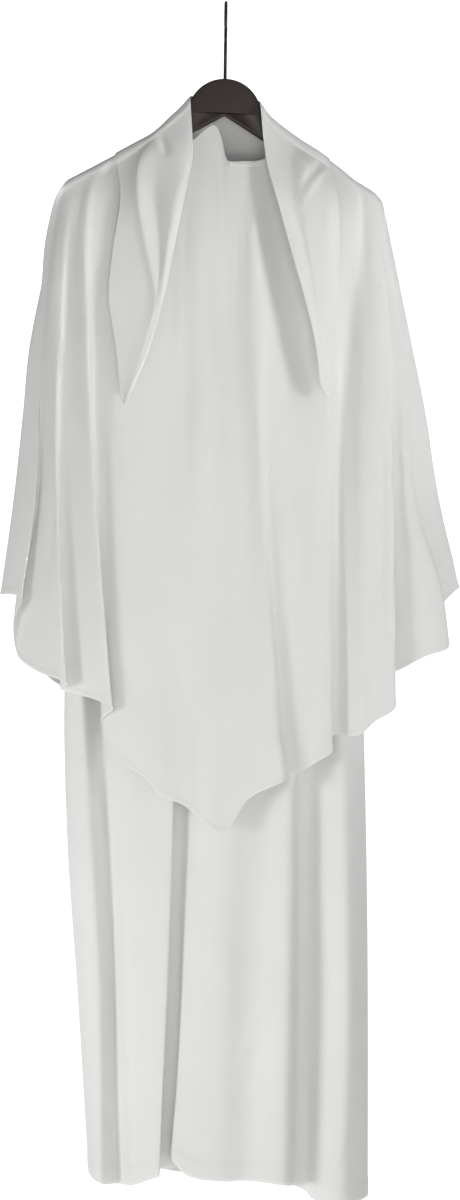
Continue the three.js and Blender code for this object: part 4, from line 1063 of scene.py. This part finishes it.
def stage_and_lights():
    """A pale floor that curves up into a pale backdrop far behind, soft light, and the camera."""
    turns = np.linspace(0.1, math.pi / 2, 16)
    bend = [
        (BACKDROP_FROM + BEND_RADIUS * math.sin(t), FLOOR_Z + BEND_RADIUS * (1 - math.cos(t)))
        for t in turns
    ]
    top = (BACKDROP_FROM + BEND_RADIUS, BACKDROP_TOP)
    near = [(FLOOR_FRONT, FLOOR_Z), (NEAR_FLOOR_END, FLOOR_Z)]
    far = [(NEAR_FLOOR_END, FLOOR_Z), (BACKDROP_FROM, FLOOR_Z), *bend, top]
    paper_sheet("pale_floor", near, 0.62)
    paper_sheet("pale_backdrop", far, 0.92)

    world = bpy.data.worlds.new("soft_room")
    world.use_nodes = True
    world.node_tree.nodes["Background"].inputs["Color"].default_value = (0.98, 1.0, 0.985, 1)
    world.node_tree.nodes["Background"].inputs["Strength"].default_value = 0.2
    bpy.context.scene.world = world
    for name, place, aim, size, power, spread in [
        ("right_window_light", (3.1, -2.1, -0.3), (0.0, 0.0, -0.3), 1.0, 1.3, 22),
        ("left_window_light", (-3.1, -2.3, -1.3), (0.0, 0.0, -1.3), 1.0, 1.4, 24),
        ("front_light", (0.2, -4.2, -0.55), (0.0, 0.0, -0.9), 1.8, 17.5, 180),
        ("low_front_light", (0.5, -3.2, -2.0), (0.0, 0.0, -1.5), 1.2, 18, 180),
    ]:
        light = bpy.data.lights.new(name, "AREA")
        light.shape, light.size, light.energy = "SQUARE", size, power
        light.spread = math.radians(spread)
        lamp = bpy.data.objects.new(name, light)
        bpy.context.scene.collection.objects.link(lamp)
        lamp.location = place
        way = np.array(aim) - np.array(place)
        lamp.rotation_euler = Vector(way).to_track_quat("-Z", "Y").to_euler()

    camera = bpy.data.cameras.new("camera")
    camera.lens, camera.sensor_width = CAMERA_LENS, 36
    holder = bpy.data.objects.new("camera", camera)
    bpy.context.scene.collection.objects.link(holder)
    holder.location, holder.rotation_euler = CAMERA_PLACE, (math.pi / 2, 0, 0)
    bpy.context.scene.camera = holder
    bpy.context.scene.view_settings.view_transform = "Standard"


stage_and_lights()

crepe, thread = crepe_material(), thread_material()
stitching = stitch_tree(thread)
BANDS = {"dress": ["top", "waist", "knee", "hem"], "cape": ["top", "middle", "hem"]}
STANDS_FOR = {"hood_left": ["hood_front_left"], "hood_right": ["hood_front_right"]}

wood = wooden_hanger(dark_wood_material())
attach(wood, "root")
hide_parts("hanger_wood")
wire = wire_hook(black_wire_material())
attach(wire, "root")
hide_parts("hanger_hook")

for name, panel in PANELS.items():
    grid = pressed(panel_grid(panel), panel)
    half = cloth_thickness(grid, panel)
    sheet = shell(f"{name}_cloth", grid, half, panel["side"], crepe)
    garment = name.split("_")[0]
    nodes = STANDS_FOR.get(name) or (
        [f"{name}_{band}" for band in BANDS[garment]] if garment in BANDS else [name]
    )
    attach(sheet, "root")
    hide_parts(*nodes)
    sewn = stitches(f"{name}_stitches", [hem_line(grid, half, panel)], stitching, thread)
    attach(sewn, "root")
    if name == "cape_front":
        binding = neck_binding(grid, crepe)
        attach(binding, "root")
        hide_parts("neck_binding")
